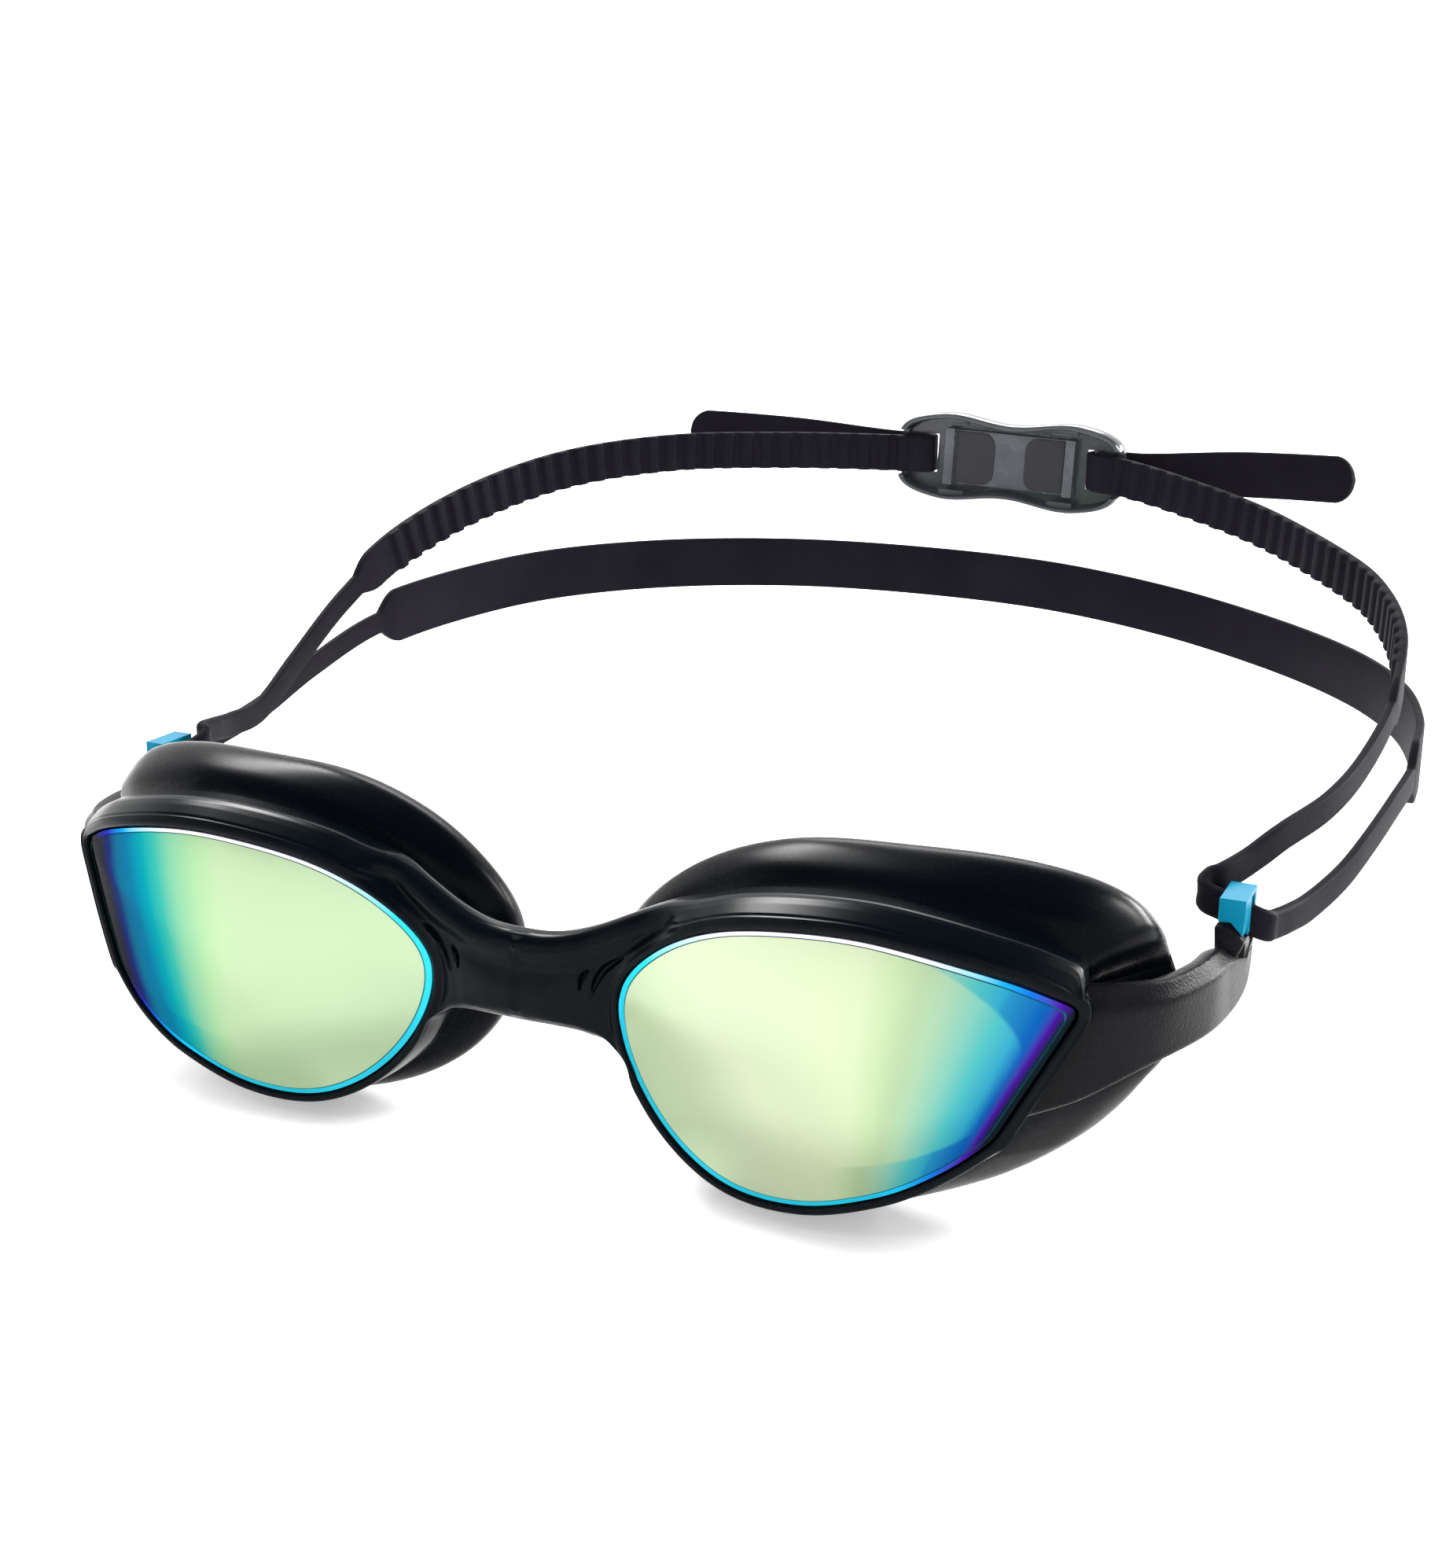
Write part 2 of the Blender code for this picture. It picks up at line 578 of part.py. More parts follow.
def make_upper(points, side):
    """A ribbed half of the upper strap, from the clip to the slot in the buckle."""
    dense = smooth_path(points, 600)
    along = measured(dense)
    length = along[-1]
    radius = NECK_WIDTH / 2.0
    places = end_places(radius)
    places += list(np.arange(0.008, NECK_LENGTH_UPPER, 0.006))
    places += [NECK_LENGTH_UPPER + SHOULDER_LENGTH * share for share in SHOULDER_STEPS]
    rib_start = NECK_LENGTH_UPPER + 0.012
    ribs = []
    first = rib_start
    while first + RIB_PITCH < length - 0.001:
        ribs.append(first)
        places += [first, first + 0.0007, first + 0.0026, first + 0.0033]
        first += RIB_PITCH
    places = sorted(set(round(place, 6) for place in places + [length]))
    path = resample(dense, along, places)
    widths, inner = [], []
    for place in places:
        width = shoulder(place, NECK_LENGTH_UPPER, NECK_WIDTH, UPPER_WIDTH)
        widths.append(rounded_end(place, radius) if place < radius else width)
        on_rib = any(rib + 0.0005 < place < rib + 0.0030 for rib in ribs)
        inner.append(STRAP_THICKNESS / 2.0 + (RIB_HEIGHT if on_rib else 0.0))
    inner = np.array(inner)
    flat = np.full(len(path), STRAP_THICKNESS / 2.0)
    if side > 0:
        return band("upper", path, widths, inner=inner, outer=flat)
    return band("upper", path, widths, inner=flat, outer=inner)


def make_lower():
    """The plain lower strap with a neck at each end."""
    dense = smooth_path(LOWER, 900)
    along = measured(dense)
    length = along[-1]
    radius = NECK_WIDTH / 2.0
    places = end_places(radius) + [length - tip for tip in end_places(radius)]
    places += list(np.linspace(0.007, length - 0.007, 60))
    for share in SHOULDER_STEPS:
        places += [NECK_LENGTH_LOWER + SHOULDER_LENGTH * share,
                   length - NECK_LENGTH_LOWER - SHOULDER_LENGTH * share]
    places = sorted(set(round(place, 6) for place in places))
    path = resample(dense, along, places)
    widths = []
    for place in places:
        near = min(place, length - place)
        width = shoulder(near, NECK_LENGTH_LOWER, NECK_WIDTH, LOWER_WIDTH)
        widths.append(rounded_end(near, radius) if near < radius else width)
    return band("lower", path, widths)


def make_tail(points):
    """A smooth tail that widens a little and has a round end."""
    dense = smooth_path(points, 200)
    along = measured(dense)
    length = along[-1]
    radius = TAIL_WIDTH / 2.0
    ends = [length - tip for tip in end_places(radius)]
    places = sorted(list(np.linspace(0.0, length - radius * 1.3, 8)) + ends)
    path = resample(dense, along, places)
    widths = []
    for place in places:
        swell = UPPER_WIDTH + (TAIL_WIDTH - UPPER_WIDTH) * min(place / (0.5 * length), 1.0)
        widths.append(min(swell, rounded_end(length - place, radius)))
    return band("tail", path, widths)


def make_fold(side):
    """The strap's turn round the end bar of the buckle, from the slot to the tail."""
    centre = Vector(BUCKLE_CENTRE)
    front = centre.y - 0.0018
    rear = centre.y + 0.0046
    inside = SLOT_IN + 0.0022
    turn = [(inside + 0.0015, front), (inside, front + 0.0012), (inside - 0.0002, centre.y + 0.0012),
            (inside + 0.0004, rear - 0.0012), (inside + 0.0022, rear), (0.0290, rear)]
    height = centre.z - side * 0.0008
    path = np.array([(x * side, y, height) for x, y in smooth_path(turn, 18)])
    return band("fold", path, np.full(len(path), UPPER_WIDTH))


def hourglass(half_length, hump, waist, steps=40):
    """Outline of the buckle as (x, z): two round humps with a waist between them."""
    outline = []
    for k in range(steps):
        turn = 2.0 * math.pi * k / steps
        across = math.cos(turn)
        x = half_length * math.copysign(abs(across) ** 0.8, across)
        share = min(abs(x) / (0.62 * half_length), 1.0)
        height = waist + (hump - waist) * math.sin(share * math.pi / 2.0) ** 2
        rise = math.sin(turn)
        outline.append((x, height * math.copysign(abs(rise) ** 0.42, rise)))
    return outline


def prism(name, outline, front, back):
    """A flat outline in X and Z, made solid from one depth to another."""
    data = bpy.data.curves.new(name, "CURVE")
    data.dimensions = "2D"
    data.fill_mode = "BOTH"
    data.extrude = (back - front) / 2.0
    spline = data.splines.new("POLY")
    spline.points.add(len(outline) - 1)
    for point, (x, z) in zip(spline.points, outline):
        point.co = (x, z, 0.0, 1.0)
    spline.use_cyclic_u = True
    curve = bpy.data.objects.new(name, data)
    PARTS.objects.link(curve)
    curve.rotation_euler = (math.radians(90.0), 0.0, 0.0)
    curve.location = (0.0, (front + back) / 2.0, 0.0)
    bpy.context.view_layer.update()
    graph = bpy.context.evaluated_depsgraph_get()
    solid = bpy.data.meshes.new_from_object(curve.evaluated_get(graph))
    solid.transform(curve.matrix_world)
    shape = bmesh.new()
    shape.from_mesh(solid)
    bmesh.ops.remove_doubles(shape, verts=shape.verts, dist=0.00001)
    bmesh.ops.recalc_face_normals(shape, faces=shape.faces)
    shape.to_mesh(solid)
    shape.free()
    made = bpy.data.objects.new(name, solid)
    PARTS.objects.link(made)
    bpy.data.objects.remove(curve, do_unlink=True)
    return made


def set_in_buckle(body):
    """Tilt a piece with the buckle and put it in its place in the eye frame."""
    place = Matrix.Translation(BUCKLE_CENTRE) @ Matrix.Rotation(-BUCKLE_TILT, 4, "Y")
    body.data.transform(place)


def make_shell():
    """The buckle's tray: hourglass walls, a floor on the outer side, and a slot at each end."""
    half = BUCKLE_DEPTH / 2.0
    shell = prism("shell", hourglass(BUCKLE_HALF_LENGTH, BUCKLE_HUMP, BUCKLE_WAIST), -half, half)
    hollow = prism("hollow", hourglass(BUCKLE_HALF_LENGTH - BUCKLE_WALL, BUCKLE_HUMP - BUCKLE_WALL,
                                       BUCKLE_WAIST - BUCKLE_WALL), -half - 0.001, half - BUCKLE_WALL)
    boolean(shell, hollow, "DIFFERENCE")
    bake(shell)
    for side in (-1, 1):
        low, high = sorted((side * SLOT_IN, side * SLOT_OUT))
        boolean(shell, box("slot", (low, 0.0, -SLOT_HALF_HEIGHT), (high, half + 0.001, SLOT_HALF_HEIGHT)),
                "DIFFERENCE")
        low, high = sorted((side * SLOT_OUT, side * (BUCKLE_HALF_LENGTH + 0.002)))
        boolean(shell, box("mouth", (low, -half - 0.001, -SLOT_HALF_HEIGHT),
                           (high, half - 2.0 * BUCKLE_WALL, SLOT_HALF_HEIGHT)), "DIFFERENCE")
    bake(shell)
    set_in_buckle(shell)
    return shell


def make_plate():
    """The buckle's inner plate with a thicker cross bar at each end."""
    front = BUCKLE_DEPTH / 2.0 - BUCKLE_WALL - GAP - PLATE_THICKNESS
    back = BUCKLE_DEPTH / 2.0 - BUCKLE_WALL - GAP
    plate = box("plate", (-PLATE_HALF_LENGTH, front, -PLATE_HALF_HEIGHT),
                (PLATE_HALF_LENGTH, back, PLATE_HALF_HEIGHT))
    for side in (-1, 1):
        low, high = sorted((side * (PLATE_HALF_LENGTH - 0.0020), side * (PLATE_HALF_LENGTH + 0.0002)))
        boolean(plate, box("bar", (low, front - 0.0012, -PLATE_HALF_HEIGHT - 0.0002),
                           (high, back - 0.0002, PLATE_HALF_HEIGHT + 0.0002)), "UNION")
    bake(plate)
    set_in_buckle(plate)
    return plate


def build():
    """Make every piece."""
    eye = empty("eye_frame", EYE_FRAME)
    upper_pivot = empty("upper_strap_pivot", UPPER_PIVOT, eye)
    lower_pivot = empty("lower_strap_pivot", LOWER_PIVOT, eye)
    for side, word in ((-1, "left"), (1, "right")):
        finish(make_lens(side), f"lens_{word}", "lens", eye)
        finish(make_frame(side), f"frame_{word}", "frame", eye)
        finish(make_seal(side), f"seal_{word}", "seal", eye)
        finish(make_clip(side), f"strap_clip_{word}", "clip", eye)
        finish(make_loop(side), f"strap_loop_{word}", "strap", eye)
        finish(make_fold(side), f"strap_fold_{word}", "strap", upper_pivot, UPPER_PIVOT)
    finish(make_skin(), "front_skin", "skin", eye)
    finish(make_upper(UPPER_RIGHT, 1), "upper_strap_right", "strap", upper_pivot, UPPER_PIVOT)
    finish(make_upper(UPPER_LEFT, -1), "upper_strap_left", "strap", upper_pivot, UPPER_PIVOT)
    finish(make_lower(), "lower_strap", "strap", lower_pivot, LOWER_PIVOT)
    finish(make_tail(TAIL_RIGHT), "strap_tail_right", "strap", upper_pivot, UPPER_PIVOT)
    finish(make_tail(TAIL_LEFT), "strap_tail_left", "strap", upper_pivot, UPPER_PIVOT)
    finish(make_shell(), "buckle_shell", "buckle", upper_pivot, UPPER_PIVOT)
    finish(make_plate(), "buckle_plate", "buckle", upper_pivot, UPPER_PIVOT)


clear_scene()
PARTS = collection("swim_goggles")
CUTTERS = collection("cutters")
build()
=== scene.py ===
"""Looks for the swim goggles: curved mirror lenses, black arms and front skin, soft face seals, a split
ribbed head strap, blue strap clips and a smoke-tinted buckle.

Metres. Every place is in the eye frame: its origin is in the middle of the nose bridge, +X is towards the
viewer's right, +Y runs back to the wearer's head. EYE_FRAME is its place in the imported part's frame.
"""

import json
import math

import bmesh
import bpy
import numpy as np
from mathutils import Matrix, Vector

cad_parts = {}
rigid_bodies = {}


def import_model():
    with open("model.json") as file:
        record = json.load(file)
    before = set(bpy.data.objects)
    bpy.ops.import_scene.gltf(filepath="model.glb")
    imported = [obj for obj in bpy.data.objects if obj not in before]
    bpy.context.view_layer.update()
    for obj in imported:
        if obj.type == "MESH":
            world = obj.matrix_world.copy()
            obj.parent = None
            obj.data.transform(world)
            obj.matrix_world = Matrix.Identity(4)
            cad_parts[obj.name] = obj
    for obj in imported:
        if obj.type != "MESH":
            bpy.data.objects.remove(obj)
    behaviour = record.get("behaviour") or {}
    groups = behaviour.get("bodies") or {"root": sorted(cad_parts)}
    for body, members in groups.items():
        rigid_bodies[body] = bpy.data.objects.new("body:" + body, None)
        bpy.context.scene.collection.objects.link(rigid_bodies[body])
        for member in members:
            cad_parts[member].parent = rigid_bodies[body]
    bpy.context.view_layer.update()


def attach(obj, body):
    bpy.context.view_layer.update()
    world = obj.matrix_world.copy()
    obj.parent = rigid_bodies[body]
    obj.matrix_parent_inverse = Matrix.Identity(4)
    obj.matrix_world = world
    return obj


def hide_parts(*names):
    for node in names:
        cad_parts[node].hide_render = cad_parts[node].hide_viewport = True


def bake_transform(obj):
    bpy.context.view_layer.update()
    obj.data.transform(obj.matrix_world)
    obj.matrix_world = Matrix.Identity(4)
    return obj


EYE_FRAME = Vector((0.0, -0.10908, 0.03147))

# Lens outline from the temple tip over the brow, round the nose and back along the bottom, as (x, z)
LENS_OUTLINE = (
    (0.0790, 0.0053), (0.0703, 0.0095), (0.0584, 0.0124), (0.0464, 0.0126), (0.0323, 0.0101),
    (0.0218, 0.0048), (0.0154, -0.0028), (0.0167, -0.0120), (0.0234, -0.0208), (0.0330, -0.0259),
    (0.0445, -0.0259), (0.0559, -0.0219), (0.0644, -0.0168), (0.0699, -0.0123),
)
RING_STEPS = 264           # stations round the lens, a multiple of 44
CORNER_SOFTNESS = 0.0011   # how far the lens's two corners are rounded
TURN_SOFTNESS = 0.0021     # and how gently what lies round them turns
LENS_THICKNESS = 0.0018
LENS_CROWN = 0.0016
LENS_BEVEL = 0.0008        # width of the bevelled edge
LENS_BEVEL_DROP = -0.00005
GROOVE_DEPTH = 0.00012
WRAP_FRONT_X = 0.056
WRAP_FRONT_Y = -0.0055
WRAP_NOSE_DROP = 0.0060
WRAP_TEMPLE_DROP = 0.0082
NOSE_X = 0.0154
TIP_X = 0.0790
GAP = 0.0002

# Frame ring behind the lens. Its opening is an oval, so it is wide beside the temple.
RING_IN = -0.0016
EYE_OVAL_CENTRE = (0.0294, -0.0018)
EYE_OVAL = (0.0428, 0.0186)
RING_OUT = 0.0010
RING_FRONT = 0.0022
RING_BACK = 0.0070

# Front skin
SKIN_LIP_OUT = 0.0013
SKIN_BACK = 0.0076
SKIN_LIP_BACK = 0.0020
SKIN_BROW = 0.0036
SKIN_CHIN = 0.0017
SKIN_TEMPLE = 0.0018
NOSE_START = (0.0300, 0.0128)     # where the bridge's outline leaves the rim over the lens, as (x, z)
BRIDGE_TOP = (
    (0.0265, 0.0119), (0.0225, 0.0107), (0.0175, 0.0087), (0.0115, 0.0060), (0.0070, 0.0045),
    (0.0035, 0.0039),
    (0.0, 0.0038),
)
BRIDGE_BOTTOM = (
    (0.0, -0.0096), (0.0050, -0.0096), (0.0095, -0.0099), (0.0125, -0.0106), (0.0146, -0.0120),
    (0.0162, -0.0142),
)
NOSE_END = (0.0186, -0.0181)      # where it meets the rim again under the lens
NOSE_PAST = 0.0034                # how far the half is made past the middle plane, before it is cut there
BRIDGE_FRONT = -0.0014            # how far back the front of the bridge is
BRIDGE_BACK = 0.0033
BRIDGE_EDGE = 0.0021              # radius of its top and bottom edges
# Flex slits beside the bridge: (lower end, upper end, width), the ends as (x, z)
SLITS = (((0.0112, -0.0040), (0.0160, 0.0024), 0.0013), ((0.0097, -0.0030), (0.0110, 0.0000), 0.0010))
SLIT_DEPTH = 0.0010

# Face seal: its rim, station by station with LENS_OUTLINE
SEAL_RIM = (
    (0.0856, 0.0268, 0.0026), (0.0812, 0.0264, 0.0110), (0.0700, 0.0230, 0.0155),
    (0.0540, 0.0190, 0.0172), (0.0360, 0.0170, 0.0170), (0.0205, 0.0170, 0.0108),
    (0.0096, 0.0170, -0.0005), (0.0098, 0.0160, -0.0115), (0.0165, 0.0140, -0.0220),
    (0.0290, 0.0125, -0.0284), (0.0450, 0.0125, -0.0297), (0.0602, 0.0155, -0.0268),
    (0.0762, 0.0212, -0.0200), (0.0858, 0.0262, -0.0084),
)
SEAL_SWELL = 0.0011
SEAL_WALL = 0.0013
SEAL_FLANGE = 0.0012
SEAL_TEMPLE_ROOT = -0.0004

# Temple arm: (top edge, bottom edge, half thickness)
ARM = (
    ((0.0772, 0.0064, 0.0070), (0.0690, 0.0032, -0.0126), 0.0017),
    ((0.0825, 0.0088, 0.0071), (0.0775, 0.0060, -0.0089), 0.0019),
    ((0.0870, 0.0140, 0.0066), (0.0850, 0.0115, -0.0045), 0.0021),
    ((0.0896, 0.0220, 0.0063), (0.0895, 0.0205, -0.0036), 0.0021),
    ((0.0901, 0.0285, 0.0057), (0.0907, 0.0305, -0.0041), 0.0021),
    ((0.0906, 0.0335, 0.0044), (0.0911, 0.0374, -0.0032), 0.0021),
    ((0.0909, 0.0352, 0.0032), (0.0911, 0.0400, -0.0006), 0.0021),
    ((0.0910, 0.0355, 0.0031), (0.0910, 0.0410, 0.0026), 0.0021),
)
# Post on the arm's end, in front of the clip: its face as (x, z), and its front and back
POST = (
    (0.0892, 0.0016), (0.0916, 0.0006), (0.0921, 0.0034), (0.0930, 0.0058), (0.0909, 0.0077),
    (0.0888, 0.0076),
)
POST_FRONT = 0.0326
POST_BACK = 0.0350

# Strap clip: its face as (x, z) over the post, its depth, and the strap's slot from side to side
CLIP_FACE = (
    (0.0892, 0.0081), (0.0909, 0.0082), (0.0926, 0.0064), (0.0928, 0.0092), (0.0928, 0.0115),
    (0.0892, 0.0115),
)
CLIP_FACE_FRONT = 0.0332
CLIP_LOW = (0.0892, 0.0360, 0.0058)
CLIP_HIGH = (0.0928, 0.0407, 0.0115)
SOCKET_LOW = 0.0029        # bottom of the black socket on the arm that the clip sits in
CLIP_SLOT_Y = (0.0373, 0.0395)
CLIP_SLOT_Z = (0.0045, 0.0108)
CLIP_ROUNDING = 0.00028

# Strap
STRAP_THICKNESS = 0.0015
STRAP_ROUNDING = 0.00042
NECK_THICKNESS = 0.0020     # in the loop through the clip
NECK_ROUNDING = 0.00085
NECK_WIDTH = 0.0043
UPPER_WIDTH = 0.0082
LOWER_WIDTH = 0.0112
RIB_PITCH = 0.0046
RIB_HEIGHT = 0.0008
LOOP = (
    (0.0877, 0.0420, 0.0114), (0.0866, 0.0410, 0.0110), (0.0859, 0.0399, 0.0103), (0.0861, 0.0389, 0.0097),
    (0.0870, 0.0384, 0.0092), (0.0886, 0.0384, 0.0087), (0.0907, 0.0384, 0.0079), (0.0929, 0.0384, 0.0071),
    (0.0941, 0.0388, 0.0066), (0.0948, 0.0400, 0.0060), (0.0948, 0.0421, 0.0054),
)
LOOP_SPLIT = 6             # the point of LOOP inside the clip where the two runs meet
UPPER_RIGHT = (
    (0.0900, 0.0480, 0.0121), (0.0933, 0.0560, 0.0140), (0.0972, 0.0700, 0.0151), (0.0993, 0.0880, 0.0166),
    (0.1003, 0.1100, 0.0202), (0.0985, 0.1320, 0.0246), (0.0925, 0.1530, 0.0277), (0.0830, 0.1715, 0.0300),
    (0.0620, 0.1975, 0.0336), (0.0420, 0.2110, 0.0368), (0.0285, 0.2164, 0.0389), (0.0216, 0.2172, 0.0395),
)
UPPER_LEFT = (
    (-0.0900, 0.0480, 0.0104), (-0.0928, 0.0560, 0.0090), (-0.0955, 0.0680, 0.0086),
    (-0.0980, 0.0830, 0.0142),
    (-0.0993, 0.1010, 0.0225), (-0.0980, 0.1200, 0.0305), (-0.0935, 0.1440, 0.0368),
    (-0.0850, 0.1680, 0.0408),
    (-0.0700, 0.1900, 0.0424), (-0.0500, 0.2073, 0.0420), (-0.0290, 0.2164, 0.0416),
    (-0.0216, 0.2172, 0.0415),
)
LOWER = (
    (0.0961, 0.0480, 0.0046), (0.0977, 0.0560, 0.0040), (0.1000, 0.0690, 0.0044), (0.1016, 0.0820, 0.0056),
    (0.1028, 0.1010, 0.0064), (0.1032, 0.1220, 0.0062), (0.1015, 0.1420, 0.0062), (0.0955, 0.1640, 0.0066),
    (0.0835, 0.1845, 0.0072), (0.0640, 0.2032, 0.0082), (0.0380, 0.2155, 0.0106), (0.0100, 0.2200, 0.0130),
    (-0.0200, 0.2190, 0.0142), (-0.0480, 0.2110, 0.0152), (-0.0720, 0.1930, 0.0162),
    (-0.0895, 0.1690, 0.0166),
    (-0.0990, 0.1440, 0.0158), (-0.1030, 0.1180, 0.0142), (-0.1028, 0.0950, 0.0104),
    (-0.1003, 0.0740, 0.0068),
    (-0.0977, 0.0560, 0.0058), (-0.0961, 0.0480, 0.0053),
)
NECK_LENGTH_UPPER = 0.066
NECK_LENGTH_LOWER = 0.078
LOOP_LENGTH = 0.0125       # strap between the middle of the clip and the end of its loop
SHOULDER_LENGTH = 0.006
TAIL_RIGHT = (
    (0.0295, 0.2242, 0.0396), (0.0450, 0.2226, 0.0404), (0.0620, 0.2182, 0.0414), (0.0768, 0.2125, 0.0422),
)
TAIL_LEFT = (
    (-0.0295, 0.2242, 0.0416), (-0.0450, 0.2226, 0.0424), (-0.0620, 0.2182, 0.0436),
    (-0.0768, 0.2125, 0.0446),
)
TAIL_WIDTH = 0.0098

# Buckle
BUCKLE_CENTRE = Vector((0.0, 0.2196, 0.0406))
BUCKLE_HALF_LENGTH = 0.0262
BUCKLE_HUMP = 0.0104
BUCKLE_WAIST = 0.0083
BUCKLE_DEPTH = 0.0056
BUCKLE_WALL = 0.0012
BUCKLE_TILT = math.radians(-2.6)
SLOT_IN = 0.0165
SLOT_OUT = 0.0216
SLOT_HALF_HEIGHT = 0.0052
HOLE_IN = 0.0176            # the hole in the tray's floor
HOLE_OUT = 0.0203
HOLE_HALF_HEIGHT = 0.0044
PLATE_HALF_LENGTH = 0.0150
PLATE_HALF_HEIGHT = 0.0062
PLATE_THICKNESS = 0.0014
PAD_HEIGHT = 0.0003

# Camera and stage
CAMERA_PLACE = Vector((0.1382, -0.2284, 0.1063))
CAMERA_TILT = math.radians(73.0)
CAMERA_TURN = math.radians(25.0)
CAMERA_LENS = 46.94
FLOOR_GLOW = 0.30
WALL_GLOW = 0.57
FLOOR_SEGMENTS = 72


# ---- shapes

def smooth_path(points, steps, closed=False):
    """Points at even distances along a smooth curve through the given ones."""
    control = np.array(points, dtype=float)
    count = len(control)
    spans = count if closed else count - 1
    dense = []
    for span in range(spans):
        if closed:
            p0, p1, p2, p3 = (control[(span + k) % count] for k in (-1, 0, 1, 2))
        else:
            p1, p2 = control[span], control[span + 1]
            p0 = control[span - 1] if span > 0 else 2 * p1 - p2
            p3 = control[span + 2] if span + 2 < count else 2 * p2 - p1
        for t in np.linspace(0.0, 1.0, 24, endpoint=False):
            dense.append(0.5 * (2 * p1 + (p2 - p0) * t + (2 * p0 - 5 * p1 + 4 * p2 - p3) * t ** 2
                                + (3 * p1 - p0 - 3 * p2 + p3) * t ** 3))
    dense.append(control[0] if closed else control[-1])
    dense = np.array(dense)
    along = measured(dense)
    places = np.linspace(0.0, along[-1], steps, endpoint=not closed)
    return resample(dense, along, places)


def measured(dense):
    """Distance along a polyline at each of its points."""
    return np.concatenate([[0.0], np.cumsum(np.linalg.norm(np.diff(dense, axis=0), axis=1))])


def resample(dense, along, places):
    """Points of a polyline at given distances from its start."""
    return np.stack([np.interp(places, along, dense[:, k]) for k in range(dense.shape[1])], axis=1)


def unit(rows):
    """Vectors brought to length 1."""
    return rows / np.linalg.norm(rows, axis=1)[:, None]


def ease(x, low, high):
    """0 below low, 1 above high, smooth between."""
    share = np.clip((np.asarray(x, dtype=float) - low) / (high - low), 0.0, 1.0)
    return share * share * (3.0 - 2.0 * share)


def blur_ring(values, spread):
    """Smooth a closed row of points or vectors over a number of stations."""
    count = len(values)
    offsets = np.arange(count)
    offsets = np.minimum(offsets, count - offsets)
    weights = np.exp(-0.5 * (offsets / spread) ** 2)
    weights /= weights.sum()
    spectrum = np.fft.fft(weights)
    return np.stack([np.real(np.fft.ifft(np.fft.fft(values[:, k]) * spectrum))
                     for k in range(values.shape[1])], axis=1)


def new_object(name, vertices, faces):
    """A smooth-shaded mesh object from points in the eye frame."""
    data = bpy.data.meshes.new(name)
    places = np.array(vertices, dtype=float) + np.array(EYE_FRAME)
    data.from_pydata([tuple(p) for p in places], [], faces)
    data.update()
    made = bpy.data.objects.new(name, data)
    bpy.context.scene.collection.objects.link(made)
    data.shade_smooth()
    return made


def loft(name, sections, ring=False):
    """A closed skin over sections of equal point count, capped at both ends unless they run in a ring."""
    rows, width = len(sections), len(sections[0])
    vertices = [tuple(point) for section in sections for point in section]
    faces = []
    for row in range(rows if ring else rows - 1):
        following = (row + 1) % rows
        for i in range(width):
            j = (i + 1) % width
            faces.append((row * width + i, row * width + j, following * width + j, following * width + i))
    if not ring:
        faces.append(tuple(reversed(range(width))))
        faces.append(tuple(range((rows - 1) * width, rows * width)))
    made = new_object(name, vertices, faces)
    outward(made)
    return made


def outward(body):
    """Turn a closed mesh's faces outward."""
    mesh = bmesh.new()
    mesh.from_mesh(body.data)
    bmesh.ops.recalc_face_normals(mesh, faces=mesh.faces)
    mesh.to_mesh(body.data)
    mesh.free()


def apply_modifiers(body):
    """Keep the modified mesh and drop the modifiers."""
    bpy.context.view_layer.update()
    graph = bpy.context.evaluated_depsgraph_get()
    data = bpy.data.meshes.new_from_object(body.evaluated_get(graph))
    body.modifiers.clear()
    body.data = data


def cut(body, cutter, operation="DIFFERENCE"):
    """Boolean with another object, which is then removed."""
    step = body.modifiers.new("cut", "BOOLEAN")
    step.operation = operation
    step.solver = "EXACT"
    step.object = cutter
    apply_modifiers(body)
    bpy.data.objects.remove(cutter, do_unlink=True)


def join(bodies):
    """Make one object of several."""
    for item in bpy.context.selected_objects:
        item.select_set(False)
    for item in bodies:
        item.select_set(True)
    bpy.context.view_layer.objects.active = bodies[0]
    bpy.ops.object.join()
    bodies[0].select_set(False)
    return bodies[0]


def round_edges(body, width, angle=35.0):
    """Bevel sharp edges, and keep wide faces flat in shading."""
    step = body.modifiers.new("edges", "BEVEL")
    step.width = width
    step.segments = 3
    step.limit_method = "ANGLE"
    step.angle_limit = math.radians(angle)
    apply_modifiers(body)
    body.data.shade_smooth()
    step = body.modifiers.new("normals", "WEIGHTED_NORMAL")
    step.keep_sharp = True
    apply_modifiers(body)


def mirrored(point, side):
    """The point on the right (side 1) or its mirror image on the left (side -1)."""
    return (point[0] * side, *point[1:])


def wrap(x):
    """How far back the lens edge is at a distance x from the middle plane."""
    x = np.asarray(x, dtype=float)
    nose = WRAP_FRONT_Y + WRAP_NOSE_DROP * ((WRAP_FRONT_X - x) / (WRAP_FRONT_X - NOSE_X)) ** 2
    temple = WRAP_FRONT_Y + WRAP_TEMPLE_DROP * ((x - WRAP_FRONT_X) / (TIP_X - WRAP_FRONT_X)) ** 2
    return np.where(x < WRAP_FRONT_X, nose, temple)


def ring_from(points, bulge=None):
    """A ring of RING_STEPS points through an open row of control points, closed by its straight side."""
    open_steps = RING_STEPS * 39 // 44
    rest = RING_STEPS - open_steps
    open_part = smooth_path(points, open_steps)
    shares = np.arange(1, rest + 1)[:, None] / (rest + 1)
    side = open_part[-1] + (open_part[0] - open_part[-1]) * shares
    if bulge is not None:
        side = side + np.sin(np.pi * shares) * np.array(bulge)
    return np.vstack([open_part, side])


